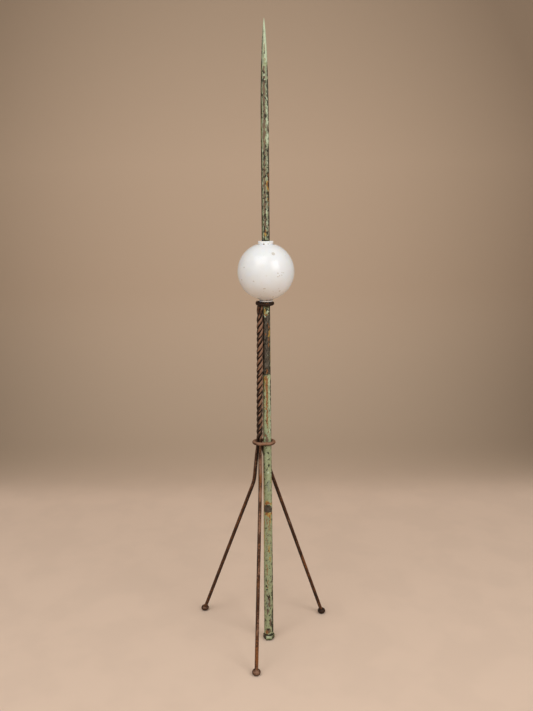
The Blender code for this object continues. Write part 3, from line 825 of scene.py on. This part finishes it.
def crust(masks):
    """Relief in metres: bare places, and places under the dark pits and painted shade, lie a little
    lower than the patina.
    """
    bare = masks["stain"][..., STAIN_MASKS.index("bare")]
    soot_and_shade = masks["stain"][..., STAIN_MASKS.index("soot_and_shade")]
    return -0.00010 * np.clip(bare * 2, 0, 1) - 0.00012 * soot_and_shade


def groove(height, place, depth, reach):
    """A factor that dips by a depth at a height, as a bell curve of that reach."""
    return 1 - depth * np.exp(-((height - place) / reach) ** 2)


# The turn of the rod's corners, the seam at the tube's mouth, and the spigot that enters it
CORNER_TURN = math.radians(15)
SEAM = 0.0003
SPIGOT_LENGTH = 0.012
SPIGOT_INSET = 0.0018


class LR_OT_rod_point(bpy.types.Operator):
    """The screwed copper point, eight-sided, running out to a blunt tip."""

    bl_idname = "lightning_rod.rod_point"
    bl_label = "Rod Point"

    def execute(self, context):
        rod = settings().rod
        rise = np.linspace(0, 1, 60)[:, None] ** 1.6
        height = rod.tip_height - (rod.tip_height - rod.point_joint - 0.0002) * rise
        angle, side = round_angles(64)
        section = many_sided(angle, 8, CORNER_TURN, 50)
        masks = rod_masks(height, side, ROD_SPOTS, ROD_BANDS, 1.2, 1.29, 1)
        dents = rough(angle / TAU, rise, 3, 5, 9) * 0.00008
        joint = groove(height, rod.point_joint, 0.05, 0.0007)
        radius = taper(height) * section * joint + np.minimum(dents, 0) + crust(masks) * 0.5
        radius = np.maximum(radius, 0.0)
        mesh = solid_mesh("copper_point", upright(radius, height, angle), masks=masks)
        set_piece("copper_point", mesh, material_named("aged_verdigris"), "verdigris_copper",
                  "rod_point")
        return {"FINISHED"}


class LR_OT_upper_rod(bpy.types.Operator):
    """The eight-sided copper rod from the point down through the ball into the tube."""

    bl_idname = "lightning_rod.upper_rod"
    bl_label = "Upper Rod"

    def execute(self, context):
        rod = settings().rod
        low = rod.tube_top + SEAM
        rise = np.linspace(0, 1, 900)[:, None]
        height = rod.point_joint + (low - rod.point_joint) * rise
        angle, side = round_angles(80)
        masks = rod_masks(height, side, ROD_SPOTS, ROD_BANDS, 0.62, 1.24, 14)
        section = many_sided(angle, 8, CORNER_TURN, 60)
        dents = rough(angle / TAU, rise, 11, 6, 60) * 0.00012 - 0.00006
        joint = groove(height, rod.point_joint, 0.04, 0.0008)
        radius = taper(height) * section * joint + dents + crust(masks)
        spigot = np.full((1, angle.shape[1]), rod.tube_top_radius - SPIGOT_INSET)
        radius = np.vstack([radius, spigot, spigot])
        height = np.vstack([height, [[low]], [[low - SPIGOT_LENGTH]]])
        for label in masks:
            masks[label] = np.vstack([masks[label], masks[label][-1:], masks[label][-1:]])
        mesh = solid_mesh("copper_upper_rod", upright(radius, height, angle), masks=masks)
        set_piece("copper_upper_rod", mesh, material_named("aged_verdigris"), "verdigris_copper",
                  "upper_rod")
        return {"FINISHED"}


class LR_OT_lower_tube(bpy.types.Operator):
    """The tapered round copper tube between the rod above and the foot cap."""

    bl_idname = "lightning_rod.lower_tube"
    bl_label = "Lower Tube"

    def execute(self, context):
        rod = settings().rod
        rise = np.linspace(0, 1, 820)[:, None]
        height = rod.tube_top + (rod.cap_height - rod.tube_top) * rise
        angle, side = round_angles(88)
        masks = rod_masks(height, side, TUBE_SPOTS, TUBE_BANDS, 0.03, 0.59, 14)
        dents = rough(angle / TAU, rise, 21, 5, 50) * 0.00016 - 0.00008
        lip = np.exp(-((rod.tube_top - height) / 0.0012) ** 2) * 0.0003
        radius = tube_radius(height) + dents + crust(masks) - lip
        mesh = solid_mesh("copper_lower_tube", upright(radius, height, angle), masks=masks)
        set_piece("copper_lower_tube", mesh, material_named("aged_verdigris"), "verdigris_copper",
                  "lower_tube")
        return {"FINISHED"}


class LR_OT_foot_cap(bpy.types.Operator):
    """The bulging six-sided cap that the rod stands on."""

    bl_idname = "lightning_rod.foot_cap"
    bl_label = "Foot Cap"

    def execute(self, context):
        rod = settings().rod
        rise = np.linspace(0, 1, 56)[:, None]
        turn = math.pi * (rise - 0.5)
        height = rod.cap_height * (0.5 - 0.5 * np.sign(turn) * np.abs(np.sin(turn)) ** 0.85)
        bulge = np.abs(np.cos(turn)) ** 0.30
        angle, side = round_angles(96)
        section = many_sided(angle, 6, 0.0, 26)
        dents = rough(angle / TAU, rise, 31, 6, 5) * 0.00020 - 0.00014
        radius = np.maximum(rod.cap_radius * section * bulge + dents * bulge, 0.0)
        masks = {name: spots_mask(height, side, spots) for name, spots in CAP_SPOTS.items()}
        masks = packed(masks, radius.shape)
        mesh = solid_mesh("copper_foot_cap", upright(radius, height, angle), masks=masks)
        set_piece("copper_foot_cap", mesh, material_named("aged_verdigris"), "verdigris_copper",
                  "rod_foot_cap")
        return {"FINISHED"}


class LR_OT_glass_ball(bpy.types.Operator):
    """The hollow milk-glass ball with its two necks."""

    bl_idname = "lightning_rod.glass_ball"
    bl_label = "Glass Ball"

    def execute(self, context):
        ball = settings().ball
        inside = ball.radius - ball.wall
        lip = 0.0012
        skin = inside + 0.001
        top = math.acos(ball.top_neck / ball.radius)
        bottom = -math.acos(ball.bottom_neck / ball.radius)
        hole = math.acos(ball.bore / inside)
        quarter = np.linspace(0, math.pi / 2, 7)
        upper_lip = np.stack([ball.top_neck - lip + lip * np.sin(quarter),
                              ball.neck_rise - lip + lip * np.cos(quarter)], -1)
        lower_lip = np.stack([ball.bottom_neck - lip + lip * np.cos(quarter),
                              lip - ball.neck_drop - lip * np.sin(quarter)], -1)
        outer = np.linspace(top, bottom, 150)
        moat = ball.radius - 0.0016 * np.exp(-((top - outer) / 0.045) ** 2)
        outer = np.stack([moat * np.cos(outer), moat * np.sin(outer)], -1)
        inner = np.linspace(-hole, hole, 60)
        inner = np.stack([inside * np.cos(inner), inside * np.sin(inner)], -1)
        waist = np.array([[ball.top_neck - 0.0006, outer[0, 1] + 0.0012]])
        under = np.array([[ball.bottom_neck - 0.0007, outer[-1, 1] - 0.0014]])
        profile = np.vstack([upper_lip, waist, outer, under, lower_lip,
                             [[ball.bore, -ball.neck_drop]], inner, [[ball.bore, ball.neck_rise]]])
        angle, side = round_angles(144)
        radius = profile[:, :1] * np.ones_like(angle)
        rise = profile[:, 1:]
        height = ball.middle + rise
        wave = rough(angle / TAU, (rise + ball.radius) / (2 * ball.radius), 41, 4, 4) * 0.00012
        outside = np.hypot(*profile.T)[:, None] > skin
        full = (profile[:, :1] > ball.top_neck + 0.002) & outside
        radius = radius + np.where(full, np.minimum(wave, 0.0), 0.0)
        # How low each point lies, for the painted shade on the lower half
        low = np.clip(-rise / ball.radius, 0, 1) * np.ones_like(angle)
        top_ring = np.exp(-((rise - outer[0, 1] - 0.0006) / 0.0009) ** 2) * 0.45
        low_ring = np.exp(-((rise - outer[-1, 1] + 0.0010) / 0.0012) ** 2)
        dirt = (top_ring + low_ring) * outside * np.ones_like(angle)
        dirt = np.maximum(dirt, spots_mask(height, side, BALL_SPOTS["dirt"]))
        specks = spots_mask(height, side, BALL_SPOTS["specks"])
        mesh = solid_mesh("milk_glass_ball", upright(radius, height, angle), ring=True,
                          masks={"low_shade_and_dirt": np.stack([low, dirt, specks, low], -1)})
        set_piece("milk_glass_ball", mesh, material_named("opal_glass"), "milk_glass", "glass_ball")
        return {"FINISHED"}


# Iron

# Each leg: the angle at which its strand leaves the twist, its knee's side and reach, the direction
# that its painted shade faces, its levels of fresh rust, rubbing and scale, where fresh rust shows
# as (height, strength, reach), and how much lighter or darker its foot is painted as light
LEGS = {
    "left": dict(phase=math.radians(165), knee_side=math.radians(139.2), knee_reach=0.0164,
                 painted_shade_side=(1.0, -0.5, 0.0), levels=(0.34, 0.26, 0.34),
                 fresh=[(0.11, 0.12, 0.08)], painted_foot_light=0.20),
    "front": dict(phase=math.radians(285), knee_side=math.radians(272.5), knee_reach=0.0151,
                  painted_shade_side=(-1.0, 0.1, 0.0), levels=(0.24, 0.52, 0.24),
                  fresh=[(0.385, 0.45, 0.009), (0.05, 0.22, 0.05)], painted_foot_light=0.18),
    "right": dict(phase=math.radians(45), knee_side=math.radians(35.2), knee_reach=0.0353,
                  painted_shade_side=(-1.0, -0.5, 0.0), levels=(0.34, 0.26, 0.34),
                  fresh=[(0.11, 0.12, 0.08)], painted_foot_light=-0.18),
}

# Where the twist's axis ends: over the ring beside the tube, and under the eye beside the rod
TWIST_OVER_RING = 0.0023
TWIST_UNDER_EYE = 0.0006
TUBE_CLEARANCE = 0.0010
ROD_CLEARANCE = 0.0003
TUBE_SIDE = math.radians(184.9)
ROD_SIDE = math.radians(214.6)

# The strands unwind over a rise at the ring, and wind slacker over a length under the eye
UNWIND_RISE = 0.014
SLACK_LENGTH = 0.026
SLACK_LOSS = 0.4

# Where the right leg passes behind the tube, below the ring
PASS_DROP = 0.0277
PASS_SIDE = math.radians(122.5)
PASS_CLEARANCE = 0.0009

# The knees below the ring, the legs' ends in the feet, and how far the bends are eased
KNEE_DROP = 0.0897
FOOT_LEVEL = 0.0062
LEG_END_RISE = 0.003
LEG_STEP = 0.0016
LEG_EASING = 55
SWELL_DROP = 0.004
SWELL_LENGTH = 0.030

# A strand fills a third of a turn, half of it on each side of its ridge
HALF_STRAND = math.radians(60)
CREVICE_DEPTH = 0.0024

# The squeeze fades in below the strands' heads and out above the ring: where, and over what length
HEAD_START, HEAD_FADE = 0.010, 0.020
RING_START, RING_FADE = 0.004, 0.016

# The kink in the ring's front, where it was welded: its place, its reach and its depth
KINK_PLACE = -0.0110
KINK_REACH = 0.0030
KINK_DEPTH = 0.00035

# The eye rises towards its ends, and swells into a knuckle over the twist
EYE_RISE = 0.0016
EYE_DROP = 0.0009
KNUCKLE_REACH = 0.0030
KNUCKLE_SWELL = 0.0005
KNUCKLE_STRETCH = 0.12

# A foot is flattened, and its collar line lies at an angle round the leg
FOOT_SQUASH = 0.755
COLLAR_TURN = math.radians(31)
COLLAR_REACH = math.radians(5)
COLLAR_DEPTH = 0.0005

# Columns of the wear_and_shading layer: fresh rust, rubbing with painted highlight, scale with painted
# shade
RUST, WORN_AND_HIGHLIGHT, SCALE_AND_SHADE = 0, 1, 2


def ring_height():
    """Height of the ring's middle."""
    low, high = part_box("middle_ring")
    return (low.z + high.z) / 2


def eye_height():
    """Height of the eye's middle."""
    low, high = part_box("top_eye")
    return (low.z + high.z) / 2


def plan(distance, side, height):
    """The point at a distance and angle from the rod's axis, at a height."""
    return np.array([distance * math.cos(side), distance * math.sin(side), height])


def twist_line():
    """The twist's axis as its lowest and highest points: it leans against the rod's side."""
    rod, iron = settings().rod, settings().iron
    outer = iron.strand_circle + iron.strand_radius
    low = ring_height() + TWIST_OVER_RING
    high = eye_height() - iron.bar_radius - TWIST_UNDER_EYE
    bottom = plan(tube_radius(low) + outer + TUBE_CLEARANCE, TUBE_SIDE, low)
    top = plan(rod.upper_radius + outer + ROD_CLEARANCE, ROD_SIDE, high)
    return bottom, top


def foot_middle(side):
    """A foot's widest level: its half height, shortened by the flat that it stands on."""
    low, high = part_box("foot_" + side)
    return np.array([(low.x + high.x) / 2, (low.y + high.y) / 2, FOOT_LEVEL])


def strand(phase):
    """One strand from the eye down to the ring: a helix that is slack above and unwinds below.

    Near the ring the wound length is rise^2 over twice the unwinding rise, above that it grows
    with the rise, and slower under the eye; the angle is the wound length over the lay.
    Gives the strand's middle line, the twist's axis beside it, and the angle at each point.
    """
    iron = settings().iron
    bottom, top = twist_line()
    total = top[2] - bottom[2]
    rise = np.linspace(total, 0, 420)
    slack = np.clip(rise - (total - SLACK_LENGTH), 0, None)
    wound = np.where(rise < UNWIND_RISE, rise ** 2 / (2 * UNWIND_RISE),
                     rise - UNWIND_RISE / 2 - SLACK_LOSS * slack)
    angle = phase + TAU * wound / iron.lay
    axis = bottom + (top - bottom) * (rise / total)[:, None]
    out = np.stack([np.cos(angle), np.sin(angle), np.zeros_like(angle)], -1)
    return axis + out * iron.strand_circle, axis, angle


def leg_path(side):
    """One bar from the eye down into its foot: strand, bend and straight leg.

    Gives the bar's middle line, and the twist's axis and the angle beside the strand's part of it.
    """
    iron = settings().iron
    facts = LEGS[side]
    bottom, _ = twist_line()
    low = ring_height()
    corners = []
    if side == "right":
        pass_height = low - PASS_DROP
        clear = tube_radius(pass_height) + iron.bar_radius + PASS_CLEARANCE
        corners.append(plan(clear, PASS_SIDE, pass_height))
    knee = bottom + plan(facts["knee_reach"], facts["knee_side"], 0.0)
    knee[2] = low - KNEE_DROP
    corners.append(knee)
    foot = foot_middle(side)
    upward = (knee - foot) / np.linalg.norm(knee - foot)
    corners.append(foot + upward * LEG_END_RISE)
    twisted, axis, angle = strand(facts["phase"])
    below = resampled(np.vstack([twisted[-1:], corners]), LEG_STEP)
    below = np.vstack([below[:1], softened(below, LEG_EASING)[1:]])
    return np.vstack([twisted[:-1], below]), axis[:-1], angle[:-1]


def squeezed_section(columns):
    """Section of a strand in the tight twist, from its own middle: outwards and sideways.

    Each strand fills a third of a turn. The radius over a strand falls with the square of
    the angle from its ridge to the valley, and a crevice cuts in where it meets its neighbour.
    Each column's ray is halved until it ends on that outline.
    """
    iron = settings().iron
    turn = np.linspace(0, TAU, columns, endpoint=False)
    near, far = np.zeros(columns), np.full(columns, 2 * iron.strand_circle)
    for _ in range(30):
        reach = (near + far) / 2
        out = iron.strand_circle + reach * np.cos(turn)
        aside = reach * np.sin(turn)
        swing = np.abs(np.arctan2(aside, out))
        share = swing / HALF_STRAND
        limit = iron.ridge - (iron.ridge - iron.valley) * share ** 2
        limit = limit - CREVICE_DEPTH * np.clip((share - 0.76) / 0.20, 0, 1) ** 2
        inside = (share < 0.97) & (np.hypot(out, aside) < limit)
        near = np.where(inside, reach, near)
        far = np.where(inside, far, reach)
    return near * np.cos(turn), near * np.sin(turn)


def bar_wear(path, columns, seed, levels, fresh=()):
    """Wear of a bar as seeded unevenness: fresh rust, worn highlights and dark scale."""
    rows = len(path)
    along, across = shares(rows, columns)
    rust = levels[RUST] + 0.35 * rough(across, along, seed + 5, 2, max(4, rows // 30))
    worn = levels[WORN_AND_HIGHLIGHT] + 0.45 * rough(across, along, seed, 3, max(4, rows // 14))
    for height, strength, reach in fresh:
        rust = rust + strength * np.exp(-((path[:, 2:] - height) / reach) ** 2)
    scale = levels[SCALE_AND_SHADE] + 0.40 * rough(across, along, seed + 9, 3, max(4, rows // 10))
    return np.stack(np.broadcast_arrays(rust, worn, scale, 1.0), -1)


def facing(grid, path, direction):
    """How far each point of a bar faces a direction: the cosine, from -1 to 1."""
    out = grid - path[:, None]
    out = out / np.linalg.norm(out, axis=-1, keepdims=True)
    return out @ (np.array(direction) / np.linalg.norm(direction))


def iron_piece(name, node_name, grid, wear_and_shading, ring=False):
    """Set a finished iron surface in place of its frame node."""
    mesh = solid_mesh(name, grid, ring=ring, masks={"wear_and_shading": wear_and_shading})
    set_piece(name, mesh, material_named("old_wrought_rust"), "rusted_iron", node_name)


def squeezed_twist(grid, path, axis, out, pits, section):
    """Press the strand's part of a bar into the twist's section, fading at both ends of the twist.

    The section's outward and sideways distances are laid off from the twist's axis, along the
    strand's direction from it and square to that. Gives how far each row was pressed, from 0 to 1.
    """
    twisted = len(axis)
    height = path[:twisted, 2]
    above = (height - ring_height() - RING_START) / RING_FADE
    tight = eased(np.minimum((path[0, 2] - height - HEAD_START) / HEAD_FADE, above))[:, None, None]
    outward, sideways = section
    out = out[:twisted, None]
    beside = np.stack([-out[..., 1], out[..., 0], out[..., 2]], -1)
    far = settings().iron.strand_circle + outward[None, :, None] + pits[:twisted, :, None]
    squeezed = axis[:, None] + far * out + sideways[None, :, None] * beside
    grid[:twisted] = grid[:twisted] * (1 - tight) + squeezed * tight
    return tight[..., 0]


def twist_wear(wear_and_shading, grid, path, axis, tight, section):
    """Even out the twist's rust, rubbing and scale; darken its crevices with scale and painted shade,
    its left side with painted shade and its lower half; rub its ridges, with a painted highlight.
    """
    twisted = len(axis)
    outward, sideways = section
    swing = np.degrees(np.abs(np.arctan2(sideways, settings().iron.strand_circle + outward)))
    crevice = np.clip((swing - 36) / 16, 0, 1)
    # Painted shade on the twist's left side
    shaded = np.clip(facing(grid[:twisted], axis, (-1.0, -0.2, 0.0)) - 0.25, 0, 1)
    lower = np.clip((0.61 - path[:twisted, 2:]) / 0.08, 0, 1)
    wear_and_shading[:twisted] = 0.4 * wear_and_shading[:twisted] + 0.6 * np.array((0.30, 0.40, 0.28, 1.0))
    # Scale and painted shade in the crevices; rubbing and a painted highlight on the ridges
    wear_and_shading[:twisted, :, SCALE_AND_SHADE] += tight * (0.95 * crevice - 0.10 + 0.45 * shaded)
    wear_and_shading[:twisted, :, WORN_AND_HIGHLIGHT] += 0.8 * tight * (0.6 - crevice)
    wear_and_shading[:twisted, :, SCALE_AND_SHADE] += 0.20 * lower


class LR_OT_legs(bpy.types.Operator):
    """The three bars of the stand, twisted together above and spread as legs below."""

    bl_idname = "lightning_rod.legs"
    bl_label = "Twisted Legs"

    def execute(self, context):
        iron = settings().iron
        columns = 36
        section = squeezed_section(columns)
        for index, (side, facts) in enumerate(LEGS.items()):
            path, axis, turn = leg_path(side)
            along, across = shares(len(path), columns)
            swell = np.clip((ring_height() - SWELL_DROP - path[:, 2:]) / SWELL_LENGTH, 0, 1)
            pits = rough(across, along, 60 + index, 4, 160) * 0.00013 - 0.00008
            radius = iron.strand_radius + (iron.bar_radius - iron.strand_radius) * swell + pits
            angle = np.r_[turn, np.full(len(path) - len(axis), facts["phase"])]
            out = np.stack([np.cos(angle), np.sin(angle), np.zeros_like(angle)], -1)
            grid = swept(path, radius, out)
            tight = squeezed_twist(grid, path, axis, out, pits, section)

            wear_and_shading = bar_wear(path, columns, 70 + 3 * index, facts["levels"], facts["fresh"])
            twist_wear(wear_and_shading, grid, path, axis, tight, section)
            # Painted shade on one side of each bar and where it turns away from the front; a painted
            # highlight where it faces the front
            painted_side_shade = np.clip(facing(grid, path, facts["painted_shade_side"]) - 0.1, 0, 1)
            front = facing(grid, path, (0.15, -1.0, 0.25))
            wear_and_shading[..., SCALE_AND_SHADE] += 0.50 * painted_side_shade + 0.45 * np.clip(0.55 - front, 0, 0.45)
            wear_and_shading[..., WORN_AND_HIGHLIGHT] += 0.25 * np.clip(front - 0.5, 0, 1)
            wear_and_shading[..., WORN_AND_HIGHLIGHT] -= 0.18 * np.clip((0.24 - path[:, 2:]) / 0.12, 0, 1)
            iron_piece("iron_leg_" + side, "leg_" + side, grid, wear_and_shading)
        return {"FINISHED"}


def oval(left, right, half_depth, height, count):
    """A closed oval round the rod, from its front middle: half circles and straight sides."""
    turn = np.linspace(-math.pi / 2, math.pi / 2, 60)
    end = np.stack([right - half_depth + half_depth * np.cos(turn), half_depth * np.sin(turn)], -1)
    turn = turn + math.pi
    start = np.stack([half_depth - left + half_depth * np.cos(turn), half_depth * np.sin(turn)], -1)
    loop = np.vstack([end, start, end[:1]])
    loop = np.column_stack([loop, np.full(len(loop), height)])
    run = np.r_[0, np.cumsum(np.linalg.norm(np.diff(loop, axis=0), axis=1))]
    even = np.linspace(0, run[-1], count, endpoint=False)
    return np.stack([np.interp(even, run, loop[:, i]) for i in range(3)], -1)


class LR_OT_ring(bpy.types.Operator):
    """The oval ring round the twist and the rod, with the kink of its weld in front."""

    bl_idname = "lightning_rod.ring"
    bl_label = "Middle Ring"

    def execute(self, context):
        iron = settings().iron
        low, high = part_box("middle_ring")
        depth = high.y - iron.bar_radius
        path = oval(-low.x - iron.bar_radius, high.x - iron.bar_radius, depth, ring_height(), 220)
        kink = np.exp(-((path[:, 0] - KINK_PLACE) / KINK_REACH) ** 2) * (path[:, 1] < 0)
        along, across = shares(len(path), 28, ring=True)
        pits = mottle(along, across, 81, 50, 6) * 0.00012 - 0.00014
        radius = iron.bar_radius + pits - KINK_DEPTH * kink[:, None]
        grid = swept(path, radius, UPWARDS)
        wear_and_shading = bar_wear(path, 28, 83, (0.38, 0.46, 0.16))
        # Painted highlight on the ring's top and painted shade on its underside
        lit = facing(grid, path, (0.1, -0.5, 0.9))
        wear_and_shading[..., WORN_AND_HIGHLIGHT] += 0.60 * np.clip(lit, 0, 1)
        wear_and_shading[..., SCALE_AND_SHADE] += 0.90 * np.clip(0.15 - lit, 0, 1)
        iron_piece("iron_middle_ring", "middle_ring", grid, wear_and_shading, ring=True)
        return {"FINISHED"}


class LR_OT_eye(bpy.types.Operator):
    """The eye that carries the ball, swelling into a knuckle over the twist."""

    bl_idname = "lightning_rod.eye"
    bl_label = "Top Eye"

    def execute(self, context):
        iron = settings().iron
        path = oval(iron.eye_left, iron.eye_right, iron.eye_half_depth, eye_height(), 220)
        path[:, 2] += EYE_RISE * (path[:, 0] / iron.eye_left) ** 2 - EYE_DROP
        knuckle = np.exp(-((path[:, 0] + iron.eye_left) / KNUCKLE_REACH) ** 2)
        along, across = shares(len(path), 28, ring=True)
        pits = mottle(along, across, 91, 44, 6) * 0.00014 - 0.00014
        radius = iron.bar_radius - 0.0002 + pits + KNUCKLE_SWELL * knuckle[:, None]
        grid = swept(path, radius, UPWARDS, 1 + KNUCKLE_STRETCH * knuckle)
        wear_and_shading = bar_wear(path, 28, 93, (0.42, 0.08, 0.50))
        # Painted highlight on the eye's upper left, painted shade on its underside and on its front
        wear_and_shading[..., WORN_AND_HIGHLIGHT] += 0.5 * np.clip(facing(grid, path, (-0.8, -0.1, 0.6)) - 0.3, 0, 1)
        wear_and_shading[..., SCALE_AND_SHADE] += 0.7 * np.clip(0.3 - facing(grid, path, (-0.2, -0.2, 1.0)), 0, 1)
        wear_and_shading[..., SCALE_AND_SHADE] += 0.22 * np.clip(facing(grid, path, (0.4, -1.0, 0.1)), 0, 1)
        iron_piece("iron_top_eye", "top_eye", grid, wear_and_shading, ring=True)
        return {"FINISHED"}


class LR_OT_feet(bpy.types.Operator):
    """The three bun-shaped feet, flat underneath, with a collar line round the leg."""

    bl_idname = "lightning_rod.feet"
    bl_label = "Feet"

    def execute(self, context):
        radius = settings().iron.foot_radius
        # Direction that the feet's painted highlight faces
        lit = np.array((0.1, -0.6, 0.8)) / math.sqrt(1.01)
        tilt = np.linspace(0.02, math.pi - 0.02, 60)[:, None]
        angle, _ = round_angles(72)
        across, down = angle / TAU, tilt / math.pi
        out = np.stack(np.broadcast_arrays(np.sin(tilt) * np.cos(angle),
                                           np.sin(tilt) * np.sin(angle), np.cos(tilt)), -1)
        for index, (side, facts) in enumerate(LEGS.items()):
            middle = foot_middle(side)
            path, _, _ = leg_path(side)
            upward = path[-20] - path[-1]
            upward /= np.linalg.norm(upward)
            off = np.arccos(np.clip(out @ upward, -1, 1))
            collar = np.exp(-((off - COLLAR_TURN) / COLLAR_REACH) ** 2)
            pits = rough(across, down, 101 + index, 6, 6) * 0.00016 - 0.00016
            grid = middle + out * (radius + pits - COLLAR_DEPTH * collar)[..., None]
            grid[..., 2] = middle[2] + (grid[..., 2] - middle[2]) * FOOT_SQUASH
            grid[..., 2] = np.maximum(grid[..., 2], 0.0)
            # Painted light: a lighter side towards the lit direction, a darker underside, and each
            # foot lightened or darkened as a whole; the collar line is a dark joint
            light = facts["painted_foot_light"]
            rust = 0.25 + 0.3 * rough(across, down, 121 + index, 3, 3)
            worn = 0.50 * np.clip(out @ lit, 0, 1) + light
            worn = worn + 0.4 * rough(across, down, 111 + index, 5, 5)
            scale = 0.44 - light + 0.9 * collar + 0.9 * np.clip(-out[..., 2] - 0.15, 0, 1)
            wear_and_shading = np.stack(np.broadcast_arrays(rust, worn, scale, 1.0), -1)
            iron_piece("iron_foot_" + side, "foot_" + side, grid, wear_and_shading)
        return {"FINISHED"}


# Stage

def soft_light(name, place, target, width, height, power):
    """A rectangular area light aimed at a point."""
    lamp = bpy.data.lights.new(name, "AREA")
    lamp.shape = "RECTANGLE"
    lamp.size = width
    lamp.size_y = height
    lamp.energy = power
    lamp.color = LAMP_COLOUR
    light = bpy.data.objects.new(name, lamp)
    bpy.context.scene.collection.objects.link(light)
    ahead = np.array(target) - np.array(place)
    flat = math.hypot(ahead[0], ahead[1])
    light.location = place
    light.rotation_euler = (math.pi / 2 + math.atan2(ahead[2], flat), 0.0,
                            math.atan2(ahead[1], ahead[0]) - math.pi / 2)


# Soft lamps: name, place, target, width, height, power
LAMPS = [
    ("key_window", (1.25, -1.35, 1.75), (0, 0, 0.70), 1.1, 1.3, 17.0),
    ("fill_window", (-1.35, -1.75, 1.70), (0, 0, 0.75), 1.1, 1.3, 3.5),
    ("near_floor", (-0.7, -1.2, 2.3), (-0.4, -0.3, 0.0), 1.6, 1.3, 18.0),
]
LAMP_COLOUR = (1.0, 0.985, 0.965)
ROOM_COLOUR = (0.95, 0.93, 0.90, 1.0)
ROOM_STRENGTH = 0.52

# The sweep: half its width, its front edge, where its bend starts, the bend's radius, its height
SWEEP = dict(half_width=5, front=-3, bend=0.95, radius=0.6, height=5.0)

# The sensor's 36 mm lie along the photograph's longer side, its height
SENSOR_WIDTH = 36.0
PHOTO_HEIGHT = 711.0


class LR_OT_stage(bpy.types.Operator):
    """Pale sweep, soft lights and the camera at the photograph's place."""

    bl_idname = "lightning_rod.stage"
    bl_label = "Stage"

    def execute(self, context):
        scene = context.scene
        across = np.linspace(-SWEEP["half_width"], SWEEP["half_width"], 41)[None, :]
        floor_run = np.linspace(SWEEP["front"], SWEEP["bend"], 30)
        bend = np.linspace(0, math.pi / 2, 24)[1:]
        reach = np.r_[floor_run, SWEEP["bend"] + SWEEP["radius"] * np.sin(bend),
                      SWEEP["bend"] + SWEEP["radius"]]
        rise = np.r_[np.zeros(30), SWEEP["radius"] * (1 - np.cos(bend)), SWEEP["height"]]
        grid = np.stack(np.broadcast_arrays(across, reach[:, None], rise[:, None]), -1)
        rows, columns = grid.shape[:2]
        start = np.arange(rows - 1)[:, None] * columns + np.arange(columns - 1)[None, :]
        faces = np.stack([start, start + 1, start + columns + 1, start + columns], -1).reshape(-1, 4)
        mesh = bpy.data.meshes.new("floor_sweep")
        mesh.from_pydata(grid.reshape(-1, 3).tolist(), [], faces.tolist())
        mesh.shade_smooth()
        mesh.materials.append(material_named("backdrop_paper"))
        floor = bpy.data.objects.new("floor_sweep", mesh)
        scene.collection.objects.link(floor)

        for lamp in LAMPS:
            soft_light(*lamp)
        world = bpy.data.worlds.new("soft_room")
        world.use_nodes = True
        room = world.node_tree.nodes["Background"]
        room.inputs["Color"].default_value = ROOM_COLOUR
        room.inputs["Strength"].default_value = ROOM_STRENGTH
        scene.world = world
        scene.view_settings.view_transform = "Standard"

        lens = settings().lens
        data = bpy.data.cameras.new("photo_camera")
        data.sensor_width = SENSOR_WIDTH
        data.lens = lens.focal_px * SENSOR_WIDTH / PHOTO_HEIGHT
        camera = bpy.data.objects.new("photo_camera", data)
        scene.collection.objects.link(camera)
        camera.matrix_world = (Matrix.Translation((lens.aside, -lens.distance, lens.height))
                               @ Matrix.Rotation(math.pi / 2 - lens.pitch, 4, "X")
                               @ Matrix.Rotation(-lens.roll, 4, "Z"))
        scene.camera = camera
        return {"FINISHED"}


PIECE_OPERATORS = (LR_OT_rod_point, LR_OT_upper_rod, LR_OT_lower_tube, LR_OT_foot_cap,
                   LR_OT_glass_ball, LR_OT_eye, LR_OT_ring, LR_OT_legs, LR_OT_feet, LR_OT_stage)


class LR_PT_panel(bpy.types.Panel):
    """Sidebar panel that lists the operators and the sizes."""

    bl_label = "Lightning Rod"
    bl_idname = "LR_PT_panel"
    bl_space_type = "VIEW_3D"
    bl_region_type = "UI"
    bl_category = "Lightning Rod"

    def draw(self, context):
        for operator in PIECE_OPERATORS:
            self.layout.operator(operator.bl_idname)
        state = context.scene.lightning_rod
        for group in (state.rod, state.ball, state.iron, state.colours, state.lens):
            box = self.layout.box()
            for name in group.__annotations__:
                box.prop(group, name)


CLASSES = (RodSizes, BallSizes, IronSizes, Colours, LensSettings, LightningRod,
           *PIECE_OPERATORS, LR_PT_panel)


def register():
    for cls in CLASSES:
        bpy.utils.register_class(cls)
    bpy.types.Scene.lightning_rod = PointerProperty(type=LightningRod)


def unregister():
    del bpy.types.Scene.lightning_rod
    for cls in reversed(CLASSES):
        bpy.utils.unregister_class(cls)


def main():
    """Build every piece and the stage."""
    register()
    bpy.ops.lightning_rod.stage()
    bpy.ops.lightning_rod.rod_point()
    bpy.ops.lightning_rod.upper_rod()
    bpy.ops.lightning_rod.lower_tube()
    bpy.ops.lightning_rod.foot_cap()
    bpy.ops.lightning_rod.glass_ball()
    bpy.ops.lightning_rod.eye()
    bpy.ops.lightning_rod.ring()
    bpy.ops.lightning_rod.legs()
    bpy.ops.lightning_rod.feet()


if __name__ == "__main__":
    main()
